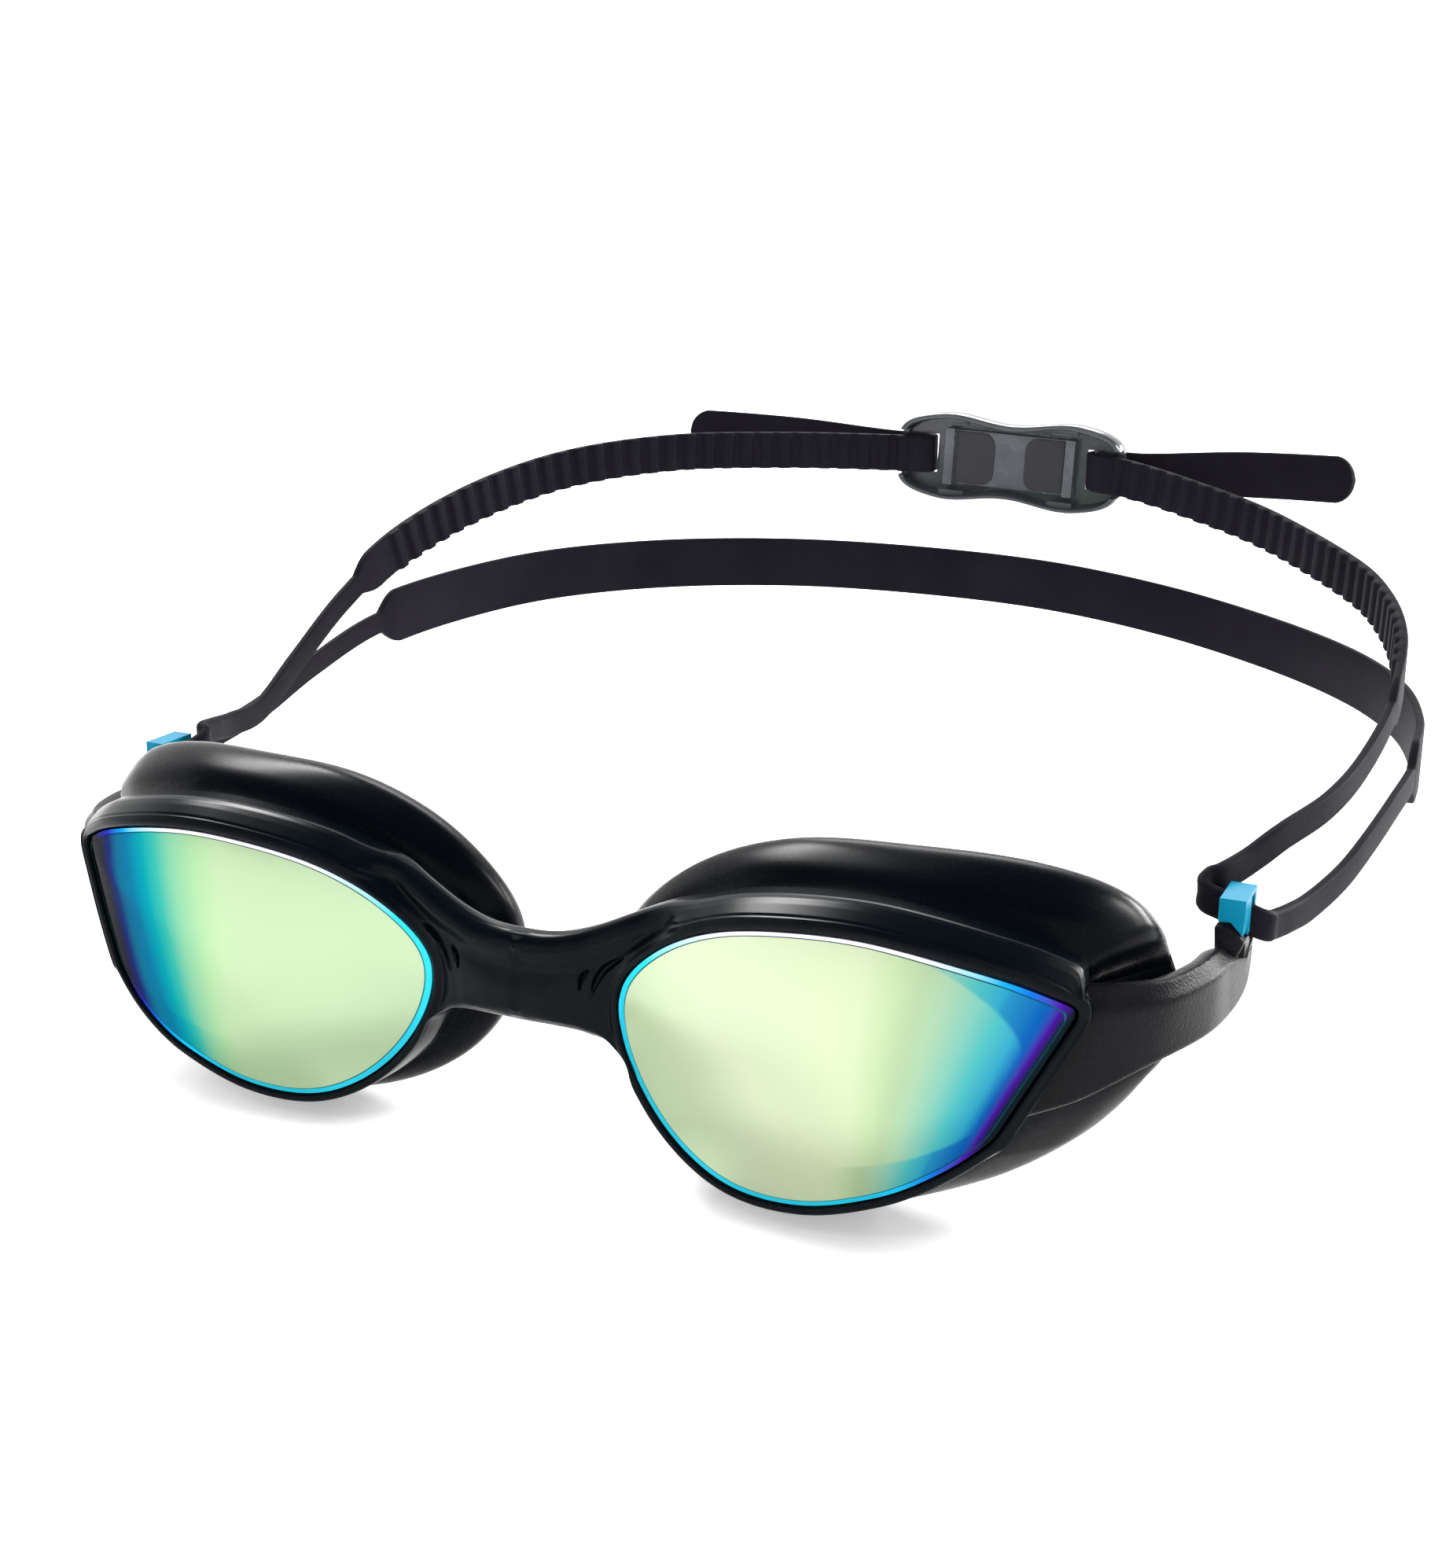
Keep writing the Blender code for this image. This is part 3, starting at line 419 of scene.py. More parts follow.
def lens_ring():
    """Stations round the lens edge: the place (x, z) and the outward direction in that plane."""
    places = ring_from(LENS_OUTLINE)
    spacing = measured(places)[-1] / RING_STEPS
    places = blur_ring(places, CORNER_SOFTNESS / spacing)
    ahead = np.roll(places, -1, axis=0) - np.roll(places, 1, axis=0)
    out = np.stack([-ahead[:, 1], ahead[:, 0]], axis=1)
    out = unit(blur_ring(unit(out), TURN_SOFTNESS / spacing))
    if ((places - places.mean(axis=0)) * out).sum() < 0:
        out = -out
    return places, out


def lens_level(x):
    """How far back the lens front is behind a place on its edge or outside it."""
    return wrap(np.clip(x, NOSE_X, TIP_X))


def ring_points(places, out, reach, back, side):
    """Points at a distance outward from the lens edge and back from the lens front."""
    spots = places + out * np.broadcast_to(reach, len(places))[:, None]
    return np.stack([spots[:, 0] * side, lens_level(places[:, 0]) + back, spots[:, 1]], axis=1)


def brow_share(out):
    """1 along the brow and 0 along the bottom."""
    return 0.5 + 0.5 * np.clip(out[:, 1] * 1.2, -1.0, 1.0)


def temple_share(out):
    """1 where the rim faces the temple and 0 elsewhere."""
    return np.clip((out[:, 0] - 0.55) / 0.25, 0.0, 1.0)


def make_lens(side):
    """A crowned lens with a bevelled edge and a fine groove inside it. The attribute rim_share is 1 on the
    bevel, and groove_shade_share is 1 in the groove, where painted shade darkens the lens."""
    places, _ = lens_ring()
    centre = places.mean(axis=0)
    radius = np.linalg.norm(places - centre, axis=1).mean()
    groove = 1.0 - LENS_BEVEL / radius
    front = [(share, 0.0, 0.0, 0.0) for share in np.linspace(0.01, groove - 0.004, 34)]
    front += [(groove - 0.003, 0.0, 0.0, 0.4), (groove - 0.001, GROOVE_DEPTH, 0.5, 1.0),
              (groove + 0.001, GROOVE_DEPTH, 1.0, 1.0), (groove + 0.003, 0.0, 1.0, 0.3),
              (groove + 0.006, 0.0, 1.0, 0.0)]
    for share in (0.4, 0.75, 0.92, 1.0):
        front.append((groove + (1.0 - groove) * share, LENS_BEVEL_DROP * share ** 2, 1.0, 0.0))
    back = [(share, LENS_THICKNESS, 0.0, 0.0) for share in (1.0, 0.7, 0.35, 0.01)]
    rows, rims, groove_shades = [], [], []
    for share, depth, rim, groove_shade in front + back:
        spots = centre + (places - centre) * share
        crown = LENS_CROWN * (1.0 - share ** 2)
        rows.append(np.stack([spots[:, 0] * side, wrap(np.maximum(spots[:, 0], NOSE_X)) - crown + depth,
                              spots[:, 1]], axis=1))
        rims.append(rim)
        groove_shades.append(groove_shade)
    lens = loft("lens", rows)
    for name, shares in (("rim_share", rims), ("groove_shade_share", groove_shades)):
        attribute = lens.data.attributes.new(name, "FLOAT", "POINT")
        attribute.data.foreach_set("value", np.repeat(shares, len(places)).astype(np.float32))
    return lens


def eye_opening(places):
    """The edge of the opening behind the lens, station by station, as (x, z)."""
    centre = np.array(EYE_OVAL_CENTRE)
    arm = places - centre
    reach = np.linalg.norm(arm, axis=1)
    oval = 1.0 / np.sqrt(((arm / reach[:, None] / np.array(EYE_OVAL)) ** 2).sum(axis=1))
    wide = np.minimum(reach + RING_IN, oval)
    return centre + arm * (wide / reach)[:, None]


def opening_points(places, back, side):
    """Points round the opening behind the lens, at a distance back from the lens front."""
    spots = eye_opening(places)
    return np.stack([spots[:, 0] * side, lens_level(spots[:, 0]) + back, spots[:, 1]], axis=1)


def make_ring(side):
    """The hard ring behind the lens."""
    places, out = lens_ring()
    rows = [opening_points(places, RING_FRONT, side), ring_points(places, out, RING_OUT, RING_FRONT, side),
            ring_points(places, out, RING_OUT, RING_BACK, side), opening_points(places, RING_BACK, side)]
    return loft("ring", np.stack(rows, axis=1), ring=True)


ARM_PROFILE = (            # round the arm: (share of the height, share of the thickness, outer side negative)
    (1.00, 0.12), (0.985, -0.10), (0.83, -0.42), (0.67, -0.80), (0.62, -0.90), (0.55, -0.95), (0.46, -0.94),
    (0.10, -0.91), (-0.30, -0.88), (-0.72, -0.86), (-0.86, -0.84), (-0.95, -0.58), (-1.00, 0.00),
    (-0.97, 0.55),
    (-0.88, 0.92), (-0.40, 1.00), (0.20, 1.00), (0.80, 1.00), (0.94, 0.74), (0.99, 0.42),
)


def make_arm(side):
    """The temple arm from the seam beside the lens to its upturned end."""
    stations = smooth_path([(*top, *bottom, half) for top, bottom, half in ARM], 110)
    tops, bottoms, halves = stations[:, 0:3], stations[:, 3:6], stations[:, 6]
    middles = (tops + bottoms) / 2.0
    ahead = unit(np.gradient(middles, axis=0))
    profile = smooth_path(ARM_PROFILE, 72, closed=True)
    rows = []
    for top, bottom, half, middle, forth in zip(tops, bottoms, halves, middles, ahead):
        rise = (top - bottom) / 2.0
        across = np.cross(rise / np.linalg.norm(rise), forth)
        across *= half / np.linalg.norm(across)
        row = middle + profile[:, :1] * rise + profile[:, 1:2] * across
        row[:, 0] *= side
        rows.append(row)
    arm = loft("arm", rows)
    post = face_plate("post", POST, POST_FRONT, POST_BACK, side)
    round_edges(post, 0.0004)
    cut(arm, post, "UNION")
    cut(arm, saddle("socket", side, POST_BACK - 0.0003, SOCKET_LOW, CLIP_LOW[2] - 0.0001), "UNION")
    arm.data.shade_smooth()
    return arm


def nose_runs():
    """The bridge's top and bottom edges as dense rows of (x, z), a little past the middle plane."""
    past = [(-x, z) for x, z in BRIDGE_TOP[-2:-4:-1]]
    top = smooth_path([NOSE_START] + list(BRIDGE_TOP) + past, 400)
    past = [(-x, z) for x, z in BRIDGE_BOTTOM[2:0:-1]]
    bottom = smooth_path(past + list(BRIDGE_BOTTOM) + [NOSE_END], 360)
    return top[top[:, 0] > -NOSE_PAST], bottom[bottom[:, 0] > -NOSE_PAST]


def skin_edge(places, out, runs):
    """The outer edge of the front skin, station by station: the rim's, and the bridge's beside the nose."""
    brow = brow_share(out)
    deep = 1.0 - temple_share(out)
    reach = SKIN_CHIN + (SKIN_BROW - SKIN_CHIN) * brow
    reach = SKIN_TEMPLE + (reach - SKIN_TEMPLE) * deep
    edge = places + out * reach[:, None]
    outline = np.vstack(runs)
    first = int(np.argmin(np.linalg.norm(edge - np.array(NOSE_START), axis=1)))
    last = int(np.argmin(np.linalg.norm(edge - np.array(NOSE_END), axis=1)))
    along = measured(outline)
    shares = np.linspace(0.0, 1.0, last - first + 1)
    target = resample(outline, along, shares * along[-1])
    settle = ease(shares, 0.0, 0.12) * (1.0 - ease(shares, 0.88, 1.0))
    edge[first:last + 1] += (target - edge[first:last + 1]) * settle[:, None]
    return edge, deep


def distance_to(points, groove_shade):
    """Distance of each point to a polyline."""
    starts, ways = groove_shade[:-1], np.diff(groove_shade, axis=0)
    gaps = points[:, None, :] - starts[None, :, :]
    shares = np.clip((gaps * ways).sum(axis=2) / (ways ** 2).sum(axis=1), 0.0, 1.0)
    gaps -= shares[:, :, None] * ways
    return np.sqrt((gaps ** 2).sum(axis=2)).min(axis=1)


def bridge_faces(spots, runs):
    """How far back the front and the back of the bridge are at places (x, z)."""
    below_top = distance_to(spots, runs[0])
    above_bottom = distance_to(spots, runs[1])
    edge = np.clip(np.minimum(below_top, above_bottom), 0.0, BRIDGE_EDGE)
    fall = BRIDGE_EDGE - np.sqrt(np.maximum(BRIDGE_EDGE ** 2 - (BRIDGE_EDGE - edge) ** 2, 0.0))
    aside = np.abs(spots[:, 0])
    bow = 0.0016 * (aside / 0.0155) ** 2
    rib = -0.00045 * np.exp(-((below_top - 0.0023) / 0.0011) ** 2)
    valley = 0.00040 * np.exp(-((below_top - 0.0048) / 0.0012) ** 2)
    crown = -0.00060 * np.exp(-((above_bottom - 0.0042) / 0.0026) ** 2) * (1.0 - ease(aside, 0.004, 0.011))
    step = -0.00025 * ease(above_bottom, 0.0011, 0.0014) * (1.0 - ease(aside, 0.0085, 0.0110))
    front = BRIDGE_FRONT + fall + bow + rib + valley + crown + step
    return front, BRIDGE_BACK - fall + bow


def make_skin():
    """The soft front: a rim round each lens that runs on into the nose bridge, with its flex slits."""
    places, out = lens_ring()
    runs = nose_runs()
    edge, deep = skin_edge(places, out, runs)
    way = edge - places
    length = np.linalg.norm(way, axis=1)
    way /= length[:, None]
    level = lens_level(places[:, 0])
    nose = ease(length, 0.0042, 0.0085)
    back_depth = SKIN_LIP_BACK + (SKIN_BACK - SKIN_LIP_BACK) * deep
    columns = []

    def at(distance):
        return places + way * np.broadcast_to(distance, len(places))[:, None]

    def add(distance, depth):
        spots = at(distance)
        columns.append(np.stack([spots[:, 0], depth, spots[:, 1]], axis=1))

    for distance, rise in ((GAP, 0.0004), (0.0003, -0.0001), (0.0006, -0.00030), (0.0010, -0.00034)):
        add(distance, level + rise)
    rim_run = (0.0, 0.16, 0.24, 0.30, 0.40, 0.75, 0.93, 1.0)
    rim_fall = np.array((-0.00020, 0.00005, 0.00018, 0.00062, 0.00085, 0.0026, 0.0037, 0.0045))
    for share in np.concatenate([np.linspace(0.0, 0.86, 34), np.sin(np.linspace(1.04, math.pi / 2.0, 12))]):
        distance = SKIN_LIP_OUT + (length - SKIN_LIP_OUT) * share
        rim = level + np.interp(share, rim_run, rim_fall) * deep
        front, _ = bridge_faces(at(distance), runs)
        leave = ease(distance, 0.0013, 0.0042)
        front = level - 0.0002 + (front - level + 0.0002) * leave + 0.00035 * np.exp(
            -((distance - 0.0019) / 0.0005) ** 2)
        add(distance, rim + (front - rim) * nose)
    front_end = columns[-1][:, 1]
    for share in np.sin(np.linspace(math.pi / 2.0, 0.0, 26)):
        distance = SKIN_LIP_OUT + (length - SKIN_LIP_OUT) * share
        _, behind = bridge_faces(at(distance), runs)
        behind += (level + SKIN_BACK - behind) * (1.0 - ease(distance, 0.0026, 0.0070))
        rim = level + back_depth
        rim = rim - 0.0005 * deep * (share > 0.995)
        depth = rim + (behind - rim) * nose
        add(distance, np.maximum(depth, front_end + 0.00008) if share == 1.0 else depth)
    add(SKIN_LIP_OUT, level + 0.0030)
    add(SKIN_LIP_OUT, level + 0.0019)
    add(0.5 * (SKIN_LIP_OUT + GAP), level + 0.0019)
    add(GAP, level + 0.0019)
    half = loft("skin", np.stack(columns, axis=1), ring=True)
    carve_slits(half, runs)
    step = half.modifiers.new("other_eye", "MIRROR")
    step.use_bisect_axis = (True, False, False)
    step.merge_threshold = 0.00003
    apply_modifiers(half)
    half.data.shade_smooth()
    return half


def carve_slits(skin, runs):
    """Cut the flex slits into the front of the bridge: thin bowed boats, widest at the surface."""
    for low, high, width in SLITS:
        low, high = np.array(low), np.array(high)
        ahead = high - low
        aside = np.array((ahead[1], -ahead[0])) / np.linalg.norm(ahead)
        rows = []
        for depth, share in ((-0.0012, 1.15), (0.0, 1.0), (0.55, 0.82), (0.85, 0.5), (1.0, 0.12)):
            row = []
            for turn in np.linspace(0.0, 2.0 * math.pi, 40, endpoint=False):
                along = 0.5 - 0.5 * math.cos(turn) * share
                bow = 0.12 * np.linalg.norm(ahead) * math.sin(math.pi * min(max(along, 0.0), 1.0))
                spot = low + ahead * along + aside * (0.5 * width * share * math.sin(turn) - bow)
                front = bridge_faces(spot[None, :], runs)[0][0]
                row.append((spot[0], front + (depth * SLIT_DEPTH if depth > 0.0 else depth), spot[1]))
            rows.append(row)
        cut(skin, loft("slit", rows))


def make_seal(side):
    """The face cup: a flange behind the frame ring that flares out and back to a rolled soft rim."""
    places, out = lens_ring()
    spacing = measured(places)[-1] / RING_STEPS
    rim = blur_ring(ring_from(SEAL_RIM, bulge=(SEAL_SWELL, 0.0, -0.4 * SEAL_SWELL)), TURN_SOFTNESS / spacing)
    temple = temple_share(out)[:, None]
    reach = SKIN_CHIN + (SKIN_BROW - SKIN_CHIN) * brow_share(out)[:, None] - 0.0009
    reach = reach + (SEAL_TEMPLE_ROOT - reach) * temple
    root = ring_points(places, out, reach[:, 0], SKIN_BACK + GAP, 1)
    inner = opening_points(places, SKIN_BACK + GAP, 1)
    normal = np.stack([out[:, 0], np.zeros(len(out)), out[:, 1]], axis=1)
    back = np.array((0.0, 1.0, 0.0))
    span = rim - root
    low_temple = (ease(out[:, 0], 0.1, 0.6) * ease(-out[:, 1], 0.15, 0.6))[:, None]
    calm = (1.0 - 0.85 * temple) * (1.0 - 0.65 * low_temple)
    bulge = (normal - back * 0.35) * np.linalg.norm(span, axis=1)[:, None] * calm
    wall = normal * SEAL_WALL * 1.6 - back * SEAL_WALL * 0.8
    controls = [root, root + span * 0.10 + bulge * 0.03]
    controls += [root + span * share + bulge * swell
                 for share, swell in ((0.3, 0.14), (0.65, 0.2), (0.88, 0.11))]
    controls += [rim, rim - normal * 0.0010 + back * 0.0007, rim - normal * 0.0024 - back * 0.0002]
    controls += [root + span * share + bulge * swell - wall for share, swell in ((0.7, 0.19), (0.35, 0.16))]
    controls += [inner + back * SEAL_FLANGE, inner]
    controls = np.stack(controls, axis=1)
    rows = np.array([smooth_path(row, 44, closed=True) for row in controls])
    rows[:, :, 0] *= side
    return loft("seal", rows, ring=True)


def block(name, low, high):
    """A box between two corners, for cutting or joining."""
    outline = ((low[1], low[2]), (high[1], low[2]), (high[1], high[2]), (low[1], high[2]))
    return loft(name, [[(x, y, z) for y, z in outline] for x in (low[0], high[0])])


def side_block(name, side, near, far, low, high):
    """A box between two distances from the middle plane, on one side of it. low and high are (y, z)."""
    left, right = sorted((side * near, side * far))
    return block(name, (left, *low), (right, *high))


def face_plate(name, face, front, back, side):
    """An outline in X and Z made solid from one depth to another."""
    return loft(name, [[(x * side, y, z) for x, z in face] for y in (front, back)])


def saddle(name, side, front, bottom, top):
    """A block at the clip's place between two heights, with the strap's slot through it sideways."""
    made = side_block(name, side, CLIP_LOW[0], CLIP_HIGH[0], (front, bottom), (CLIP_HIGH[1], top))
    cut(made, side_block("slot", side, CLIP_LOW[0] - 0.002, CLIP_HIGH[0] + 0.002,
                         *zip(CLIP_SLOT_Y, CLIP_SLOT_Z)))
    return made


def make_clip(side):
    """The clip: a saddle over the strap's loop, and a face that sits on the arm's post."""
    clip = saddle("clip", side, CLIP_LOW[1], CLIP_LOW[2], CLIP_HIGH[2])
    cut(clip, face_plate("face", CLIP_FACE, CLIP_FACE_FRONT, CLIP_LOW[1] + 0.0006, side), "UNION")
    round_edges(clip, CLIP_ROUNDING)
    return clip


def band(name, path, widths, inner, outer):
    """A flat strap with rounded edges along a route. inner and outer are its half thicknesses."""
    ahead = unit(np.gradient(path, axis=0))
    aside = unit(np.cross(ahead, (0.0, 0.0, 1.0)))
    upward = np.cross(aside, ahead)
    corner = [(math.cos(t), math.sin(t)) for t in np.radians((0.0, 30.0, 60.0, 90.0))]
    cord = ease(np.minimum(inner, outer), STRAP_THICKNESS / 2.0, NECK_THICKNESS / 2.0)
    rounding = STRAP_ROUNDING + (NECK_ROUNDING - STRAP_ROUNDING) * cord
    rows = []
    for k, point in enumerate(path):
        half = widths[k] / 2.0
        soft = min(rounding[k], half * 0.9)
        section = []
        for sign_up, sign_out, turns in ((1, 1, corner), (1, -1, corner[::-1]), (-1, -1, corner),
                                         (-1, 1, corner[::-1])):
            reach = outer[k] if sign_out > 0 else inner[k]
            for c, s in turns:
                up = sign_up * (half - soft + soft * s)
                forth = sign_out * (reach - soft + soft * c)
                section.append(point + upward[k] * up + aside[k] * forth)
        rows.append(section)
    return loft(name, rows)


def half_thickness(distance):
    """Half the strap's thickness at a distance from the clip: more in its loop."""
    thin, thick = STRAP_THICKNESS / 2.0, NECK_THICKNESS / 2.0
    return thick + (thin - thick) * ease(distance, LOOP_LENGTH, LOOP_LENGTH + 0.012)


def rounded_end(distance, radius):
    """Width of a round end at a distance from its tip."""
    left = np.clip(radius - distance, 0.0, radius)
    return 2.0 * np.sqrt(np.maximum(radius ** 2 - left ** 2, 0.0)) + 0.0002


def shoulder(distance, neck, wide):
    """Width of a strap at a distance from the clip: a narrow neck, then a quick rounded shoulder."""
    share = np.clip((distance - neck) / SHOULDER_LENGTH, 0.0, 1.0)
    return NECK_WIDTH + (wide - NECK_WIDTH) * np.sin(share * math.pi / 2.0)


def route(points, steps, spacing):
    """Places along a strap's middle line at a spacing, and their distances from its start."""
    dense = smooth_path(points, steps)
    along = measured(dense)
    places = np.linspace(0.0, along[-1], int(along[-1] / spacing))
    return resample(dense, along, places), places


def make_upper(side):
    """Half of the upper strap: from inside the clip, round its bar, back to the buckle and into its slot."""
    loop = [mirrored(point, side) for point in LOOP[LOOP_SPLIT::-1]]
    run = list(UPPER_RIGHT if side > 0 else UPPER_LEFT)
    height = BUCKLE_CENTRE.z - side * 0.0008
    inside = SLOT_IN + 0.0022
    middle = BUCKLE_CENTRE.y
    turn = [(inside + 0.0012, middle - 0.0016), (inside, middle - 0.0002), (inside + 0.0001, middle + 0.0018)]
    path, places = route(loop + run + [(x * side, y, height) for x, y in turn], 3000, 0.00034)
    widths = shoulder(places, NECK_LENGTH_UPPER + LOOP_LENGTH, UPPER_WIDTH)
    first = NECK_LENGTH_UPPER + LOOP_LENGTH + 0.012
    phase = (places - first) % RIB_PITCH
    rib = ease(phase, 0.0, 0.0008) * (1.0 - ease(phase, 0.0025, 0.0033))
    rib *= (places > first) * (places < places[-1] - 0.0075)
    thick = half_thickness(places)
    ribbed = thick + RIB_HEIGHT * rib
    return band("upper", path, widths, *((ribbed, thick) if side > 0 else (thick, ribbed)))


def make_lower():
    """The plain lower strap, from inside one clip to inside the other."""
    start = list(LOOP[LOOP_SPLIT:])
    end = [mirrored(point, -1) for point in start[::-1]]
    path, places = route(start + list(LOWER) + end, 3000, 0.0007)
    near = np.minimum(places, places[-1] - places)
    widths = shoulder(near, NECK_LENGTH_LOWER + 0.007, LOWER_WIDTH)
    thick = half_thickness(near)
    return band("lower", path, widths, thick, thick)


def make_tail(side):
    """The loose end of the strap: out of the buckle's slot, round its end bar, widening to a round tip."""
    tail = list(TAIL_RIGHT if side > 0 else TAIL_LEFT)
    height = BUCKLE_CENTRE.z - side * 0.0008
    rear = BUCKLE_CENTRE.y + 0.0046
    inside = SLOT_IN + 0.0022
    turn = [(inside, rear - 0.0040), (inside + 0.0001, rear - 0.0020), (inside + 0.0009, rear - 0.0006),
            (inside + 0.0028, rear)]
    path, places = route([(x * side, y, height) for x, y in turn] + tail, 1500, 0.0003)
    widths = UPPER_WIDTH + (TAIL_WIDTH - UPPER_WIDTH) * ease(places, 0.012, 0.040)
    widths = np.minimum(widths, rounded_end(places[-1] - places, TAIL_WIDTH / 2.0))
    thick = np.full(len(places), STRAP_THICKNESS / 2.0)
    return band("tail", path, widths, thick, thick)


def hourglass(inset=0.0, steps=128):
    """Outline of the buckle as (x, z): two round humps with a waist between them."""
    turns = 2.0 * math.pi * np.arange(steps) / steps
    across = np.cos(turns)
    half_length = BUCKLE_HALF_LENGTH - inset
    x = half_length * np.sign(across) * np.abs(across) ** 0.8
    share = np.minimum(np.abs(x) / (0.62 * half_length), 1.0)
    hump, waist = BUCKLE_HUMP - inset, BUCKLE_WAIST - inset
    height = waist + (hump - waist) * np.sin(share * math.pi / 2.0) ** 2
    rise = np.sin(turns)
    return np.stack([x, height * np.sign(rise) * np.abs(rise) ** 0.42], axis=1)


def set_in_buckle(body):
    """Tilt a piece with the buckle and put it in its place. It is made round the eye frame's origin."""
    turn = np.array(((math.cos(BUCKLE_TILT), 0.0, math.sin(BUCKLE_TILT)), (0.0, 1.0, 0.0),
                     (-math.sin(BUCKLE_TILT), 0.0, math.cos(BUCKLE_TILT))))
    points = np.zeros(len(body.data.vertices) * 3)
    body.data.vertices.foreach_get("co", points)
    points = points.reshape(-1, 3) - np.array(EYE_FRAME)
    points = points @ turn + np.array(BUCKLE_CENTRE) + np.array(EYE_FRAME)
    body.data.vertices.foreach_set("co", points.ravel())
    body.data.update()


def make_shell():
    """The buckle's tray: rounded hourglass walls round a floor, with the strap slots and mouths."""
    half = BUCKLE_DEPTH / 2.0
    steps = (                 # inset from the outer outline, and depth
        (0.0006, half), (0.00015, half - 0.0002), (0.0, half - 0.0007), (0.0, -half + 0.0006),
        (0.0002, -half + 0.00012), (0.0006, -half), (BUCKLE_WALL - 0.0003, -half + 0.0001),
        (BUCKLE_WALL, -half + 0.0005), (BUCKLE_WALL, half - BUCKLE_WALL - 0.0003),
        (BUCKLE_WALL + 0.0003, half - BUCKLE_WALL),
    )
    rows = []
    for inset, depth in steps:
        outline = hourglass(inset)
        rows.append(np.stack([outline[:, 0], np.full(len(outline), depth), outline[:, 1]], axis=1))
    shell = loft("shell", rows)
    for side in (-1, 1):
        cut(shell, side_block("slot", side, HOLE_IN, HOLE_OUT,
                              (0.0, -HOLE_HALF_HEIGHT), (half + 0.001, HOLE_HALF_HEIGHT)))
        cut(shell, side_block("mouth", side, SLOT_OUT, BUCKLE_HALF_LENGTH + 0.002,
                              (-half - 0.001, -SLOT_HALF_HEIGHT),
                              (half - 2.0 * BUCKLE_WALL, SLOT_HALF_HEIGHT)))
    shell.data.set_sharp_from_angle(angle=math.radians(40.0))
    set_in_buckle(shell)
    return shell


def make_plate():
    """The buckle's inner plate: a panel with a cross bar at each end and two raised pads."""
    back = BUCKLE_DEPTH / 2.0 - BUCKLE_WALL - GAP
    front = back - PLATE_THICKNESS
    plate = block("plate", (-PLATE_HALF_LENGTH, front, -PLATE_HALF_HEIGHT),
                  (PLATE_HALF_LENGTH, back, PLATE_HALF_HEIGHT))
    for side in (-1, 1):
        cut(plate, side_block("bar", side, PLATE_HALF_LENGTH - 0.0020, PLATE_HALF_LENGTH + 0.0002,
                              (front - 0.0012, -PLATE_HALF_HEIGHT - 0.0002),
                              (back - 0.0002, PLATE_HALF_HEIGHT + 0.0002)), "UNION")
    round_edges(plate, 0.00022)
    set_in_buckle(plate)
    return plate


def make_pad(side):
    """A rounded pad on the plate, beside the clear window."""
    front = BUCKLE_DEPTH / 2.0 - BUCKLE_WALL - GAP - PLATE_THICKNESS
    outer, inner, height = 0.0127, 0.0036, 0.0059
    radius = 0.0030
    outline = []
    for centre_z, start in ((height - radius, 0.0), (-height + radius, -90.0)):
        for turn in np.radians(np.linspace(start + 90.0, start, 10)):
            outline.append((-inner - radius + radius * math.cos(turn), centre_z + radius * math.sin(turn)))
    outline += [(-outer, -height), (-outer, height)]
    outline = [(x * -side, z) for x, z in outline]
    pad = face_plate("pad", outline, front + 0.0002, front - PAD_HEIGHT, 1)
    round_edges(pad, 0.00018, angle=50.0)
    set_in_buckle(pad)
    return pad


def make_tabs():
    """The four snap tabs on the tray's walls that hold the plate's bars."""
    half = BUCKLE_DEPTH / 2.0
    tabs = []
    for side in (-1, 1):
        for up in (-1, 1):
            bottom, top = sorted((up * 0.0074, up * 0.0091))
            tab = side_block("tab", side, 0.0098, 0.0158, (-half + 0.0008, bottom), (-half + 0.0019, top))
            round_edges(tab, 0.0003)
            tabs.append(tab)
    tabs = join(tabs)
    set_in_buckle(tabs)
    return tabs


# ---- materials

def new_material(name):
    """A material, its Principled shader and its node tree."""
    made = bpy.data.materials.new(name)
    made.use_nodes = True
    return made, made.node_tree.nodes["Principled BSDF"], made.node_tree


def fill(tree, made, values):
    """Set a node's inputs. Each value is a plain one or another node's output."""
    for name, value in values.items():
        if isinstance(value, bpy.types.NodeSocket):
            tree.links.new(value, made.inputs[name])
        else:
            made.inputs[name].default_value = value


def node(tree, kind, output, inputs, **settings):
    """Add a shader node. Returns the output asked for."""
    made = tree.nodes.new("ShaderNode" + kind)
    for name, value in settings.items():
        setattr(made, name, value)
    fill(tree, made, inputs)
    return made.outputs[output]


def place_node(tree):
    """Position in the part's own frame."""
    return node(tree, "TexCoord", "Object", {})


def noise(tree, place, scale, detail=3.0):
    """A noise texture's strength."""
    return node(tree, "TexNoise", "Fac", {"Vector": place, "Scale": scale, "Detail": detail,
                                          "Roughness": 0.55})


def ramp(tree, factor, stops):
    """A colour ramp: stops are (place, colour)."""
    made = tree.nodes.new("ShaderNodeValToRGB")
    while len(made.color_ramp.elements) < len(stops):
        made.color_ramp.elements.new(0.5)
    for element, (spot, colour) in zip(made.color_ramp.elements, stops):
        element.position = spot
        element.color = (*colour, 1.0)
    fill(tree, made, {"Fac": factor})
    return made.outputs["Color"]


def mix(tree, factor, first, second):
    """Two colours mixed."""
    return node(tree, "Mix", "Result", {"Factor": factor, "A": first, "B": second}, data_type="RGBA")


def maths(tree, kind, first, second):
    """Arithmetic on two values."""
    return node(tree, "Math", "Value", {0: first, 1: second}, operation=kind)


def remap(tree, factor, low, high, to_low, to_high):
    """A value moved from one range to another."""
    return node(tree, "MapRange", "Result", {"Value": factor, "From Min": low, "From Max": high,
                                             "To Min": to_low, "To Max": to_high})


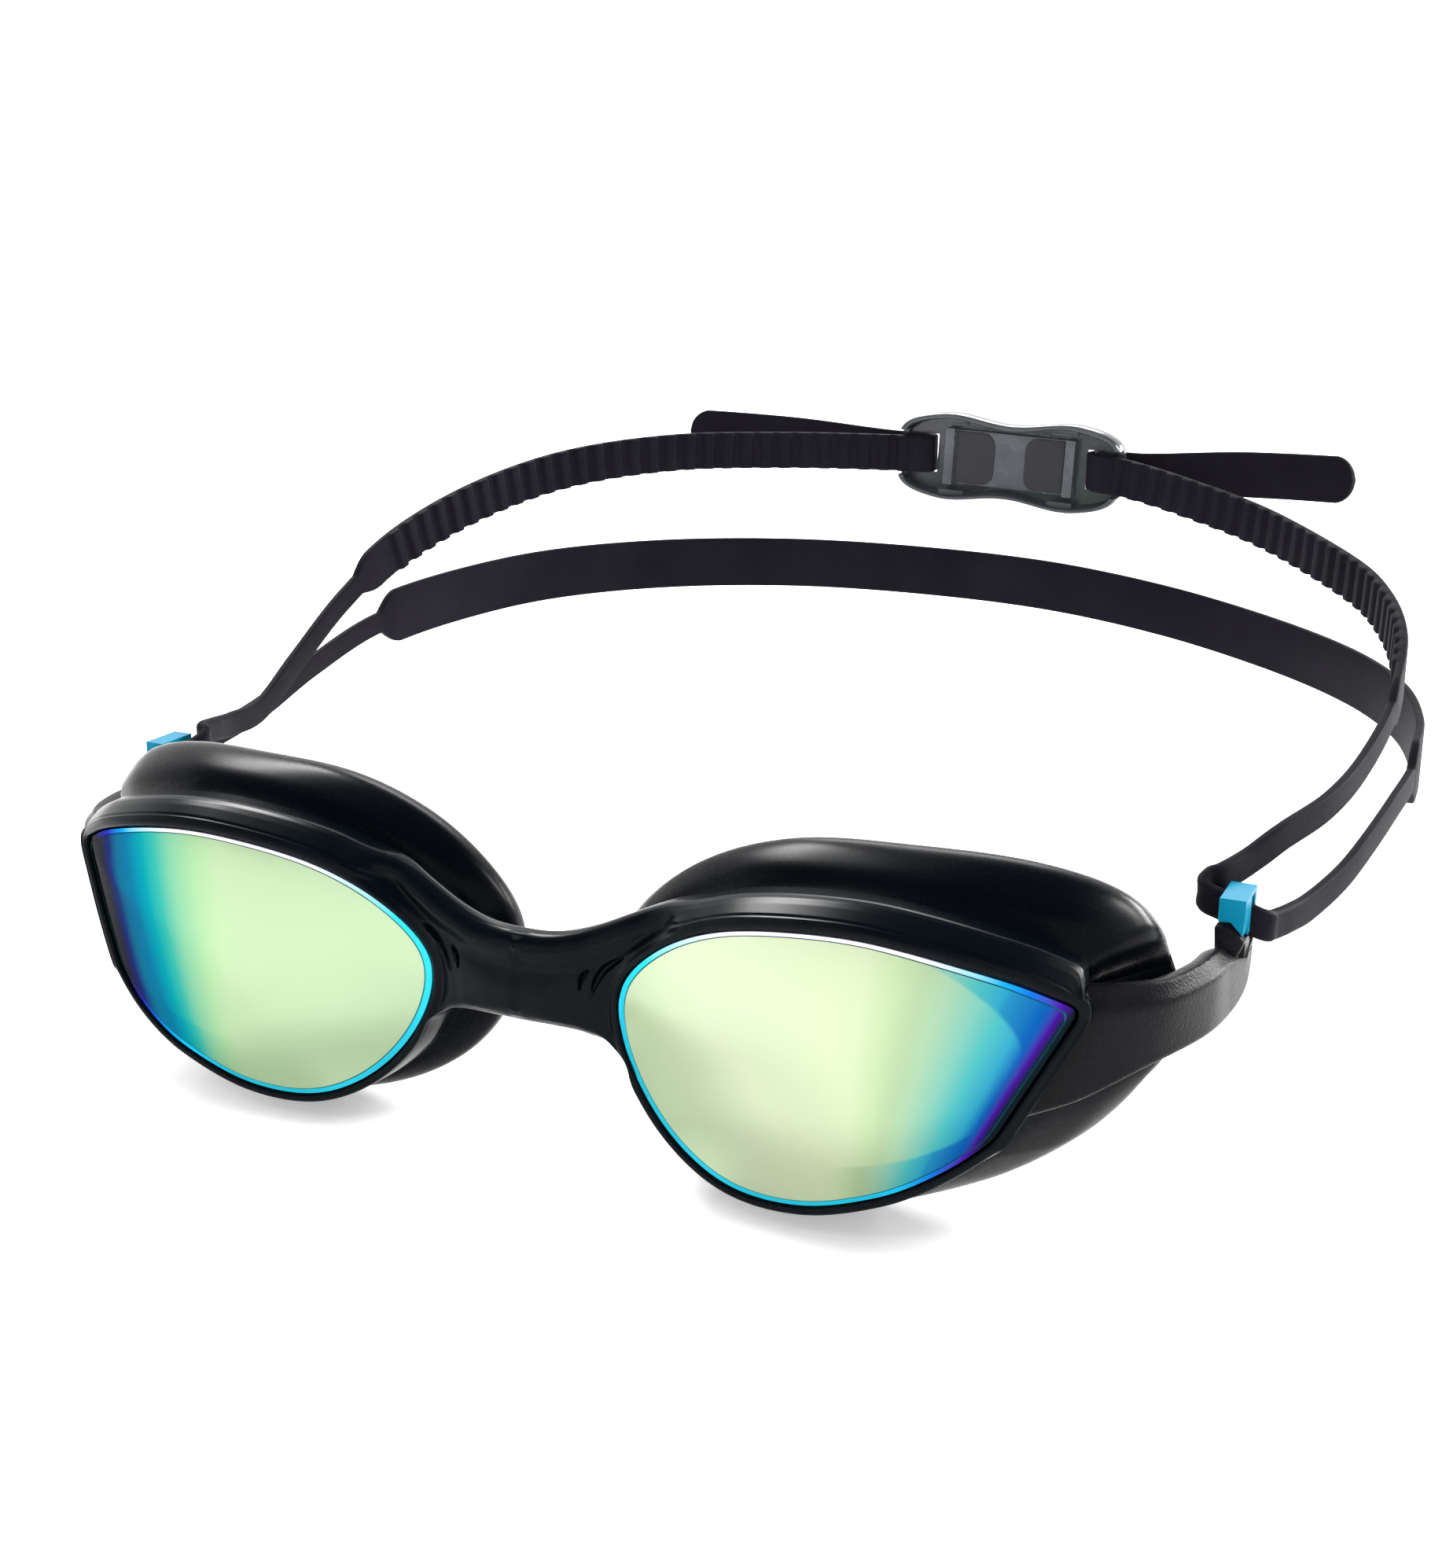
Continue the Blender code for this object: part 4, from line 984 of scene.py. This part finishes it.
def bump(tree, height, distance):
    """A bumped normal."""
    return node(tree, "Bump", "Normal", {"Height": height, "Distance": distance, "Strength": 1.0})


def moulded(name, colour, tint, rough, grain_scale, grain_depth, shine):
    """Moulded plastic or silicone: slight colour drift, uneven gloss and a fine surface grain."""
    made, shader, tree = new_material(name)
    place = place_node(tree)
    fill(tree, shader, {
        "Base Color": ramp(tree, noise(tree, place, 60.0), ((0.3, colour), (0.7, tint))),
        "Roughness": remap(tree, noise(tree, place, 1600.0), 0.3, 0.7, rough[0], rough[1]),
        "Normal": bump(tree, noise(tree, place, grain_scale, 2.0), grain_depth),
        "Specular IOR Level": shine})
    return made


MOULDED = (                # name, colour, the colour it drifts to, roughness, grain scale and depth, shine
    ("arm_grain", (0.0034, 0.0034, 0.0044), (0.0054, 0.0054, 0.0068),
     (0.32, 0.37), 2600.0, 0.00010, 0.07),
    ("skin_gloss", (0.0006, 0.0016, 0.0028), (0.0012, 0.0026, 0.0040),
     (0.24, 0.26), 3800.0, 0.000002, 0.06),
    ("seal_satin", (0.0006, 0.0012, 0.0022), (0.0011, 0.0019, 0.0031),
     (0.26, 0.28), 3000.0, 0.0000015, 0.045),
    ("strap_matte", (0.0055, 0.0048, 0.0075), (0.0080, 0.0070, 0.0105),
     (0.56, 0.64), 4600.0, 0.00002, 0.03),
    ("clip_blue", (0.0, 0.155, 0.265), (0.0, 0.18, 0.295),
     (0.34, 0.40), 3600.0, 0.00002, 0.1),
    ("smoke_pad", (0.016, 0.016, 0.020), (0.021, 0.021, 0.026),
     (0.34, 0.40), 2600.0, 0.00002, 0.2),
)


# The coating's colours in order across the lens, at places where 0 is COAT_START and 1 is the violet stop.
# The hues are the coating's; the khaki step and the fall to near black towards the temple are painted
# reflection.
COATING_AND_REFLECTION_RIGHT = (
    (-1.40, (0.375, 0.460, 0.295)), (-0.80, (0.395, 0.455, 0.315)), (0.00, (0.390, 0.452, 0.295)),
    (0.124, (0.371, 0.437, 0.285)), (0.248, (0.315, 0.401, 0.234)), (0.372, (0.257, 0.345, 0.206)),
    (0.496, (0.215, 0.336, 0.225)), (0.620, (0.130, 0.307, 0.244)), (0.744, (0.044, 0.265, 0.262)),
    (0.868, (0.016, 0.190, 0.285)), (0.945, (0.002, 0.055, 0.230)), (1.00, (0.035, 0.0015, 0.165)),
    (1.035, (0.003, 0.010, 0.020)), (1.07, (0.003, 0.006, 0.008)),
)
COATING_AND_REFLECTION_LEFT = (
    (-1.10, (0.320, 0.421, 0.263)), (-0.60, (0.321, 0.421, 0.263)), (0.10, (0.310, 0.420, 0.250)),
    (0.218, (0.254, 0.409, 0.220)), (0.364, (0.145, 0.353, 0.215)), (0.473, (0.026, 0.275, 0.225)),
    (0.582, (0.001, 0.195, 0.235)), (0.690, (0.000, 0.120, 0.210)), (0.800, (0.000, 0.125, 0.195)),
    (0.909, (0.005, 0.060, 0.145)), (1.00, (0.026, 0.014, 0.080)), (1.08, (0.014, 0.015, 0.022)),
)


def lens_material(side):
    """Mirror coating: its hues run from pale yellow-green in the middle through teal and blue to violet at the
    temple.
    Painted reflection darkens it towards the temple to near black and puts in the khaki step where the
    reflected backdrop ends. Painted shade makes it deeper beyond the oval of the opening behind it, where the
    dark ring shows through. The bevelled edge is cyan, with a pale grey-violet painted highlight along the
    top, and painted shade darkens the groove inside it. The lens itself is partly clear."""
    made, shader, tree = new_material("mirror_lens")
    place = place_node(tree)
    x, z = (node(tree, "SeparateXYZ", axis, {"Vector": place}) for axis in "XZ")
    outward_x = maths(tree, "MULTIPLY", x, float(side))
    height = maths(tree, "SUBTRACT", z, EYE_FRAME.z)
    start, violet, lean = (0.050, 0.0743, 0.50) if side > 0 else (0.044, 0.0715, 0.35)
    reach = maths(tree, "ADD", maths(tree, "MULTIPLY", height, lean), violet - start)
    share = maths(tree, "DIVIDE", maths(tree, "SUBTRACT", outward_x, start), reach)
    stops = COATING_AND_REFLECTION_RIGHT if side > 0 else COATING_AND_REFLECTION_LEFT
    first, last = stops[0][0], stops[-1][0]
    spread = remap(tree, share, first, last, 0.0, 1.0)
    places = tuple(((spot - first) / (last - first), tone) for spot, tone in stops)
    # Painted reflection: this ramp falls from pale to near black towards the temple, as the reflected
    # surroundings darken.
    coating = ramp(tree, spread, places)
    # Painted shade: beyond the oval of the opening behind the lens, where the dark ring shows through, the
    # coating is shifted towards its darker end.
    away = []
    for value, centre, size in zip((outward_x, height), EYE_OVAL_CENTRE, EYE_OVAL):
        gap = maths(tree, "DIVIDE", maths(tree, "SUBTRACT", value, centre), size)
        away.append(maths(tree, "MULTIPLY", gap, gap))
    painted_shade_mask = remap(tree, maths(tree, "ADD", away[0], away[1]), 1.035, 1.065, 0.0, 1.0)
    ahead = remap(tree, share, 0.76, 0.95, 0.055 if side > 0 else 0.015, 0.0)
    painted_shade_coating = ramp(tree, maths(tree, "ADD", spread, ahead), places)
    coating = mix(tree, painted_shade_mask, coating, painted_shade_coating)
    rim, groove_shade = (node(tree, "Attribute", "Fac", {}, attribute_name=name)
                 for name in ("rim_share", "groove_shade_share"))
    # The edge's cyan to violet is the coating's; its fall to near black towards the temple is painted
    # reflection.
    cool = ramp(tree, remap(tree, share, 0.0, 1.2, 0.0, 1.0), (
        (0.0, (0.02, 0.42, 0.56)), (0.50, (0.01, 0.34, 0.55)), (0.70, (0.005, 0.09, 0.42)),
        (0.82, (0.04, 0.004, 0.20)), (0.88, (0.003, 0.007, 0.009))))
    # Painted highlight: along the top of the bevel the edge colour turns pale grey-violet, as lit from above.
    upper = remap(tree, height, 0.003, 0.0105, 0.0, 1.0)
    inward = remap(tree, share, 0.35, 0.70, 1.0, 0.0)
    painted_highlight_mask = maths(tree, "MULTIPLY", upper, inward)
    edge = mix(tree, painted_highlight_mask, cool, (0.52, 0.50, 0.62, 1.0))
    edged = mix(tree, rim, coating, edge)
    # Painted shade: the groove inside the bevel is coloured near-black teal as its shade.
    fill(tree, shader, {
        "Base Color": mix(tree, groove_shade, edged, (0.005, 0.09, 0.10, 1.0)),
        "Roughness": remap(tree, noise(tree, place, 90.0), 0.3, 0.7, 0.05, 0.08),
        "Metallic": 0.88, "Alpha": 0.95, "Specular IOR Level": 0.15, "Specular Tint": (0.12, 0.14, 0.20, 1.0)})
    return made


def tinted(name, colour, clear, rough):
    """Smoke-tinted clear plastic with faint flow marks."""
    made, shader, tree = new_material(name)
    place = place_node(tree)
    flow = noise(tree, place, 140.0)
    deep = tuple(c * 0.7 for c in colour)
    fill(tree, shader, {
        "Base Color": ramp(tree, flow, ((0.3, deep), (0.7, colour))),
        "Roughness": remap(tree, flow, 0.3, 0.7, rough * 0.7, rough * 1.3),
        "Normal": bump(tree, noise(tree, place, 900.0, 2.0), 0.00002),
        "Transmission Weight": clear, "IOR": 1.5})
    return made


# ---- stage

def lamp(name, place, target, size, power, glossy=True):
    """A soft rectangular light. One that isn't glossy gives no highlight."""
    light = bpy.data.lights.new(name, "AREA")
    light.shape = "RECTANGLE"
    light.size, light.size_y = size
    light.energy = power
    made = bpy.data.objects.new(name, light)
    made.location = place
    made.rotation_euler = (Vector(target) - Vector(place)).to_track_quat("-Z", "Y").to_euler()
    made.visible_glossy = glossy
    made.visible_camera = False
    bpy.context.scene.collection.objects.link(made)


def make_stage():
    """A pale floor that curves up all round, soft lights and the camera."""
    scene = bpy.context.scene
    bend = np.linspace(0.0, 1.45, 14)
    radii = np.concatenate([[0.5, 1.5], 2.6 + 1.9 * np.sin(bend), [4.5]])
    heights = np.concatenate([[0.0, 0.0], 1.9 * (1.0 - np.cos(bend)), [3.6]])
    turns = 2.0 * math.pi * np.arange(FLOOR_SEGMENTS) / FLOOR_SEGMENTS
    vertices = [(r * math.cos(t), r * math.sin(t), z) for r, z in zip(radii, heights) for t in turns]
    faces = [tuple(range(FLOOR_SEGMENTS))]
    for ring in range(len(radii) - 1):
        for i in range(FLOOR_SEGMENTS):
            j = (i + 1) % FLOOR_SEGMENTS
            low, high = ring * FLOOR_SEGMENTS, (ring + 1) * FLOOR_SEGMENTS
            faces.append((low + i, high + i, high + j, low + j))
    data = bpy.data.meshes.new("floor")
    data.from_pydata(vertices, [], faces)
    data.shade_smooth()
    floor = bpy.data.objects.new("floor", data)
    scene.collection.objects.link(floor)
    made, shader, tree = new_material("pale_floor")
    place = place_node(tree)
    far = node(tree, "VectorMath", "Value", {0: place}, operation="LENGTH")
    tones = ((0.3, (0.93, 0.93, 0.93)), (0.7, (0.95, 0.95, 0.95)))
    fill(tree, shader, {
        "Base Color": ramp(tree, noise(tree, place, 3.0), tones),
        "Roughness": 0.6, "Emission Color": (1.0, 1.0, 1.0, 1.0),
        "Emission Strength": remap(tree, far, 1.0, 3.0, FLOOR_GLOW, WALL_GLOW)})
    data.materials.append(made)

    world = bpy.data.worlds.new("studio")
    world.use_nodes = True
    fill(world.node_tree, world.node_tree.nodes["Background"],
         {"Color": (1.0, 1.0, 1.0, 1.0), "Strength": 0.06})
    scene.world = world

    aim = (0.0, -0.02, 0.03)
    lamp("top", (0.0, 0.0, 2.2), (0.0, 0.0, 0.0), (3.0, 3.0), 56.0, glossy=False)
    lamp("key", (-0.75, 0.55, 1.0), aim, (0.42, 0.26), 18.0)
    lamp("rim", (0.95, 0.75, 0.75), aim, (0.30, 0.40), 15.0)
    lamp("crease", (0.55, 1.05, 0.27), (0.09, 0.02, 0.03), (0.5, 0.2), 9.0)
    lamp("sheen", (-0.35, 1.15, 0.62), aim, (0.6, 0.25), 3.5)
    lamp("front", (0.1, -1.3, 1.3), aim, (0.7, 0.25), 5.0, glossy=False)

    camera = bpy.data.cameras.new("camera")
    camera.lens = CAMERA_LENS
    camera.sensor_width = 36.0
    camera.clip_start = 0.01
    made = bpy.data.objects.new("camera", camera)
    made.location = EYE_FRAME + CAMERA_PLACE
    made.rotation_euler = (CAMERA_TILT, 0.0, CAMERA_TURN)
    scene.collection.objects.link(made)
    scene.camera = made
    scene.view_settings.view_transform = "Standard"


# ---- assembly

def dress(body, name, look):
    """Name a piece, and give it its material."""
    body.name = name
    body.data.name = name
    body.data.materials.clear()
    body.data.materials.append(look)
    return body


def build():
    """Make every piece, and let each but the straps and tails ride on its body."""
    looks = {row[0]: moulded(*row) for row in MOULDED}
    smoke = tinted("smoke_shell", (0.040, 0.044, 0.052), 0.30, 0.16)
    smoke_plate = tinted("smoke_plate", (0.075, 0.082, 0.094), 0.20, 0.25)
    for side, word in ((-1, "left"), (1, "right")):
        for make, name, look, slot, node_name in (
                (make_lens, "lens", lens_material(side), "lens", "lens"),
                (make_ring, "frame_ring", looks["arm_grain"], "frame", None),
                (make_arm, "temple_arm", looks["arm_grain"], "frame", "frame"),
                (make_seal, "seal", looks["seal_satin"], "seal", "seal"),
                (make_clip, "strap_clip", looks["clip_blue"], "clip", "strap_clip")):
            made = dress(make(side), f"{name}_{word}_look", look)
            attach(made, "front")
            if node_name:
                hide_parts(f"{node_name}_{word}")
        upper = dress(make_upper(side), f"upper_strap_{word}_look", looks["strap_matte"])
        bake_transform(upper)
        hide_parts(f"upper_strap_{word}", f"strap_loop_{word}", f"strap_fold_{word}")
        tail = dress(make_tail(side), f"strap_tail_{word}_look", looks["strap_matte"])
        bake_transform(tail)
        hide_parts(f"strap_tail_{word}")
        pad = dress(make_pad(side), f"buckle_pad_{word}_look", looks["smoke_pad"])
        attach(pad, "upper_strap")
    skin = dress(make_skin(), "front_skin_look", looks["skin_gloss"])
    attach(skin, "front")
    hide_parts("front_skin")
    lower = dress(make_lower(), "lower_strap_look", looks["strap_matte"])
    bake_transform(lower)
    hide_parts("lower_strap")
    for make, name, look, node_name in (
            (make_shell, "buckle_shell_look", smoke, "buckle_shell"),
            (make_plate, "buckle_plate_look", smoke_plate, "buckle_plate"),
            (make_tabs, "buckle_tabs_look", smoke, None)):
        made = dress(make(), name, look)
        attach(made, "upper_strap")
        if node_name:
            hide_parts(node_name)


for item in list(bpy.data.objects):
    bpy.data.objects.remove(item, do_unlink=True)
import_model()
make_stage()
build()
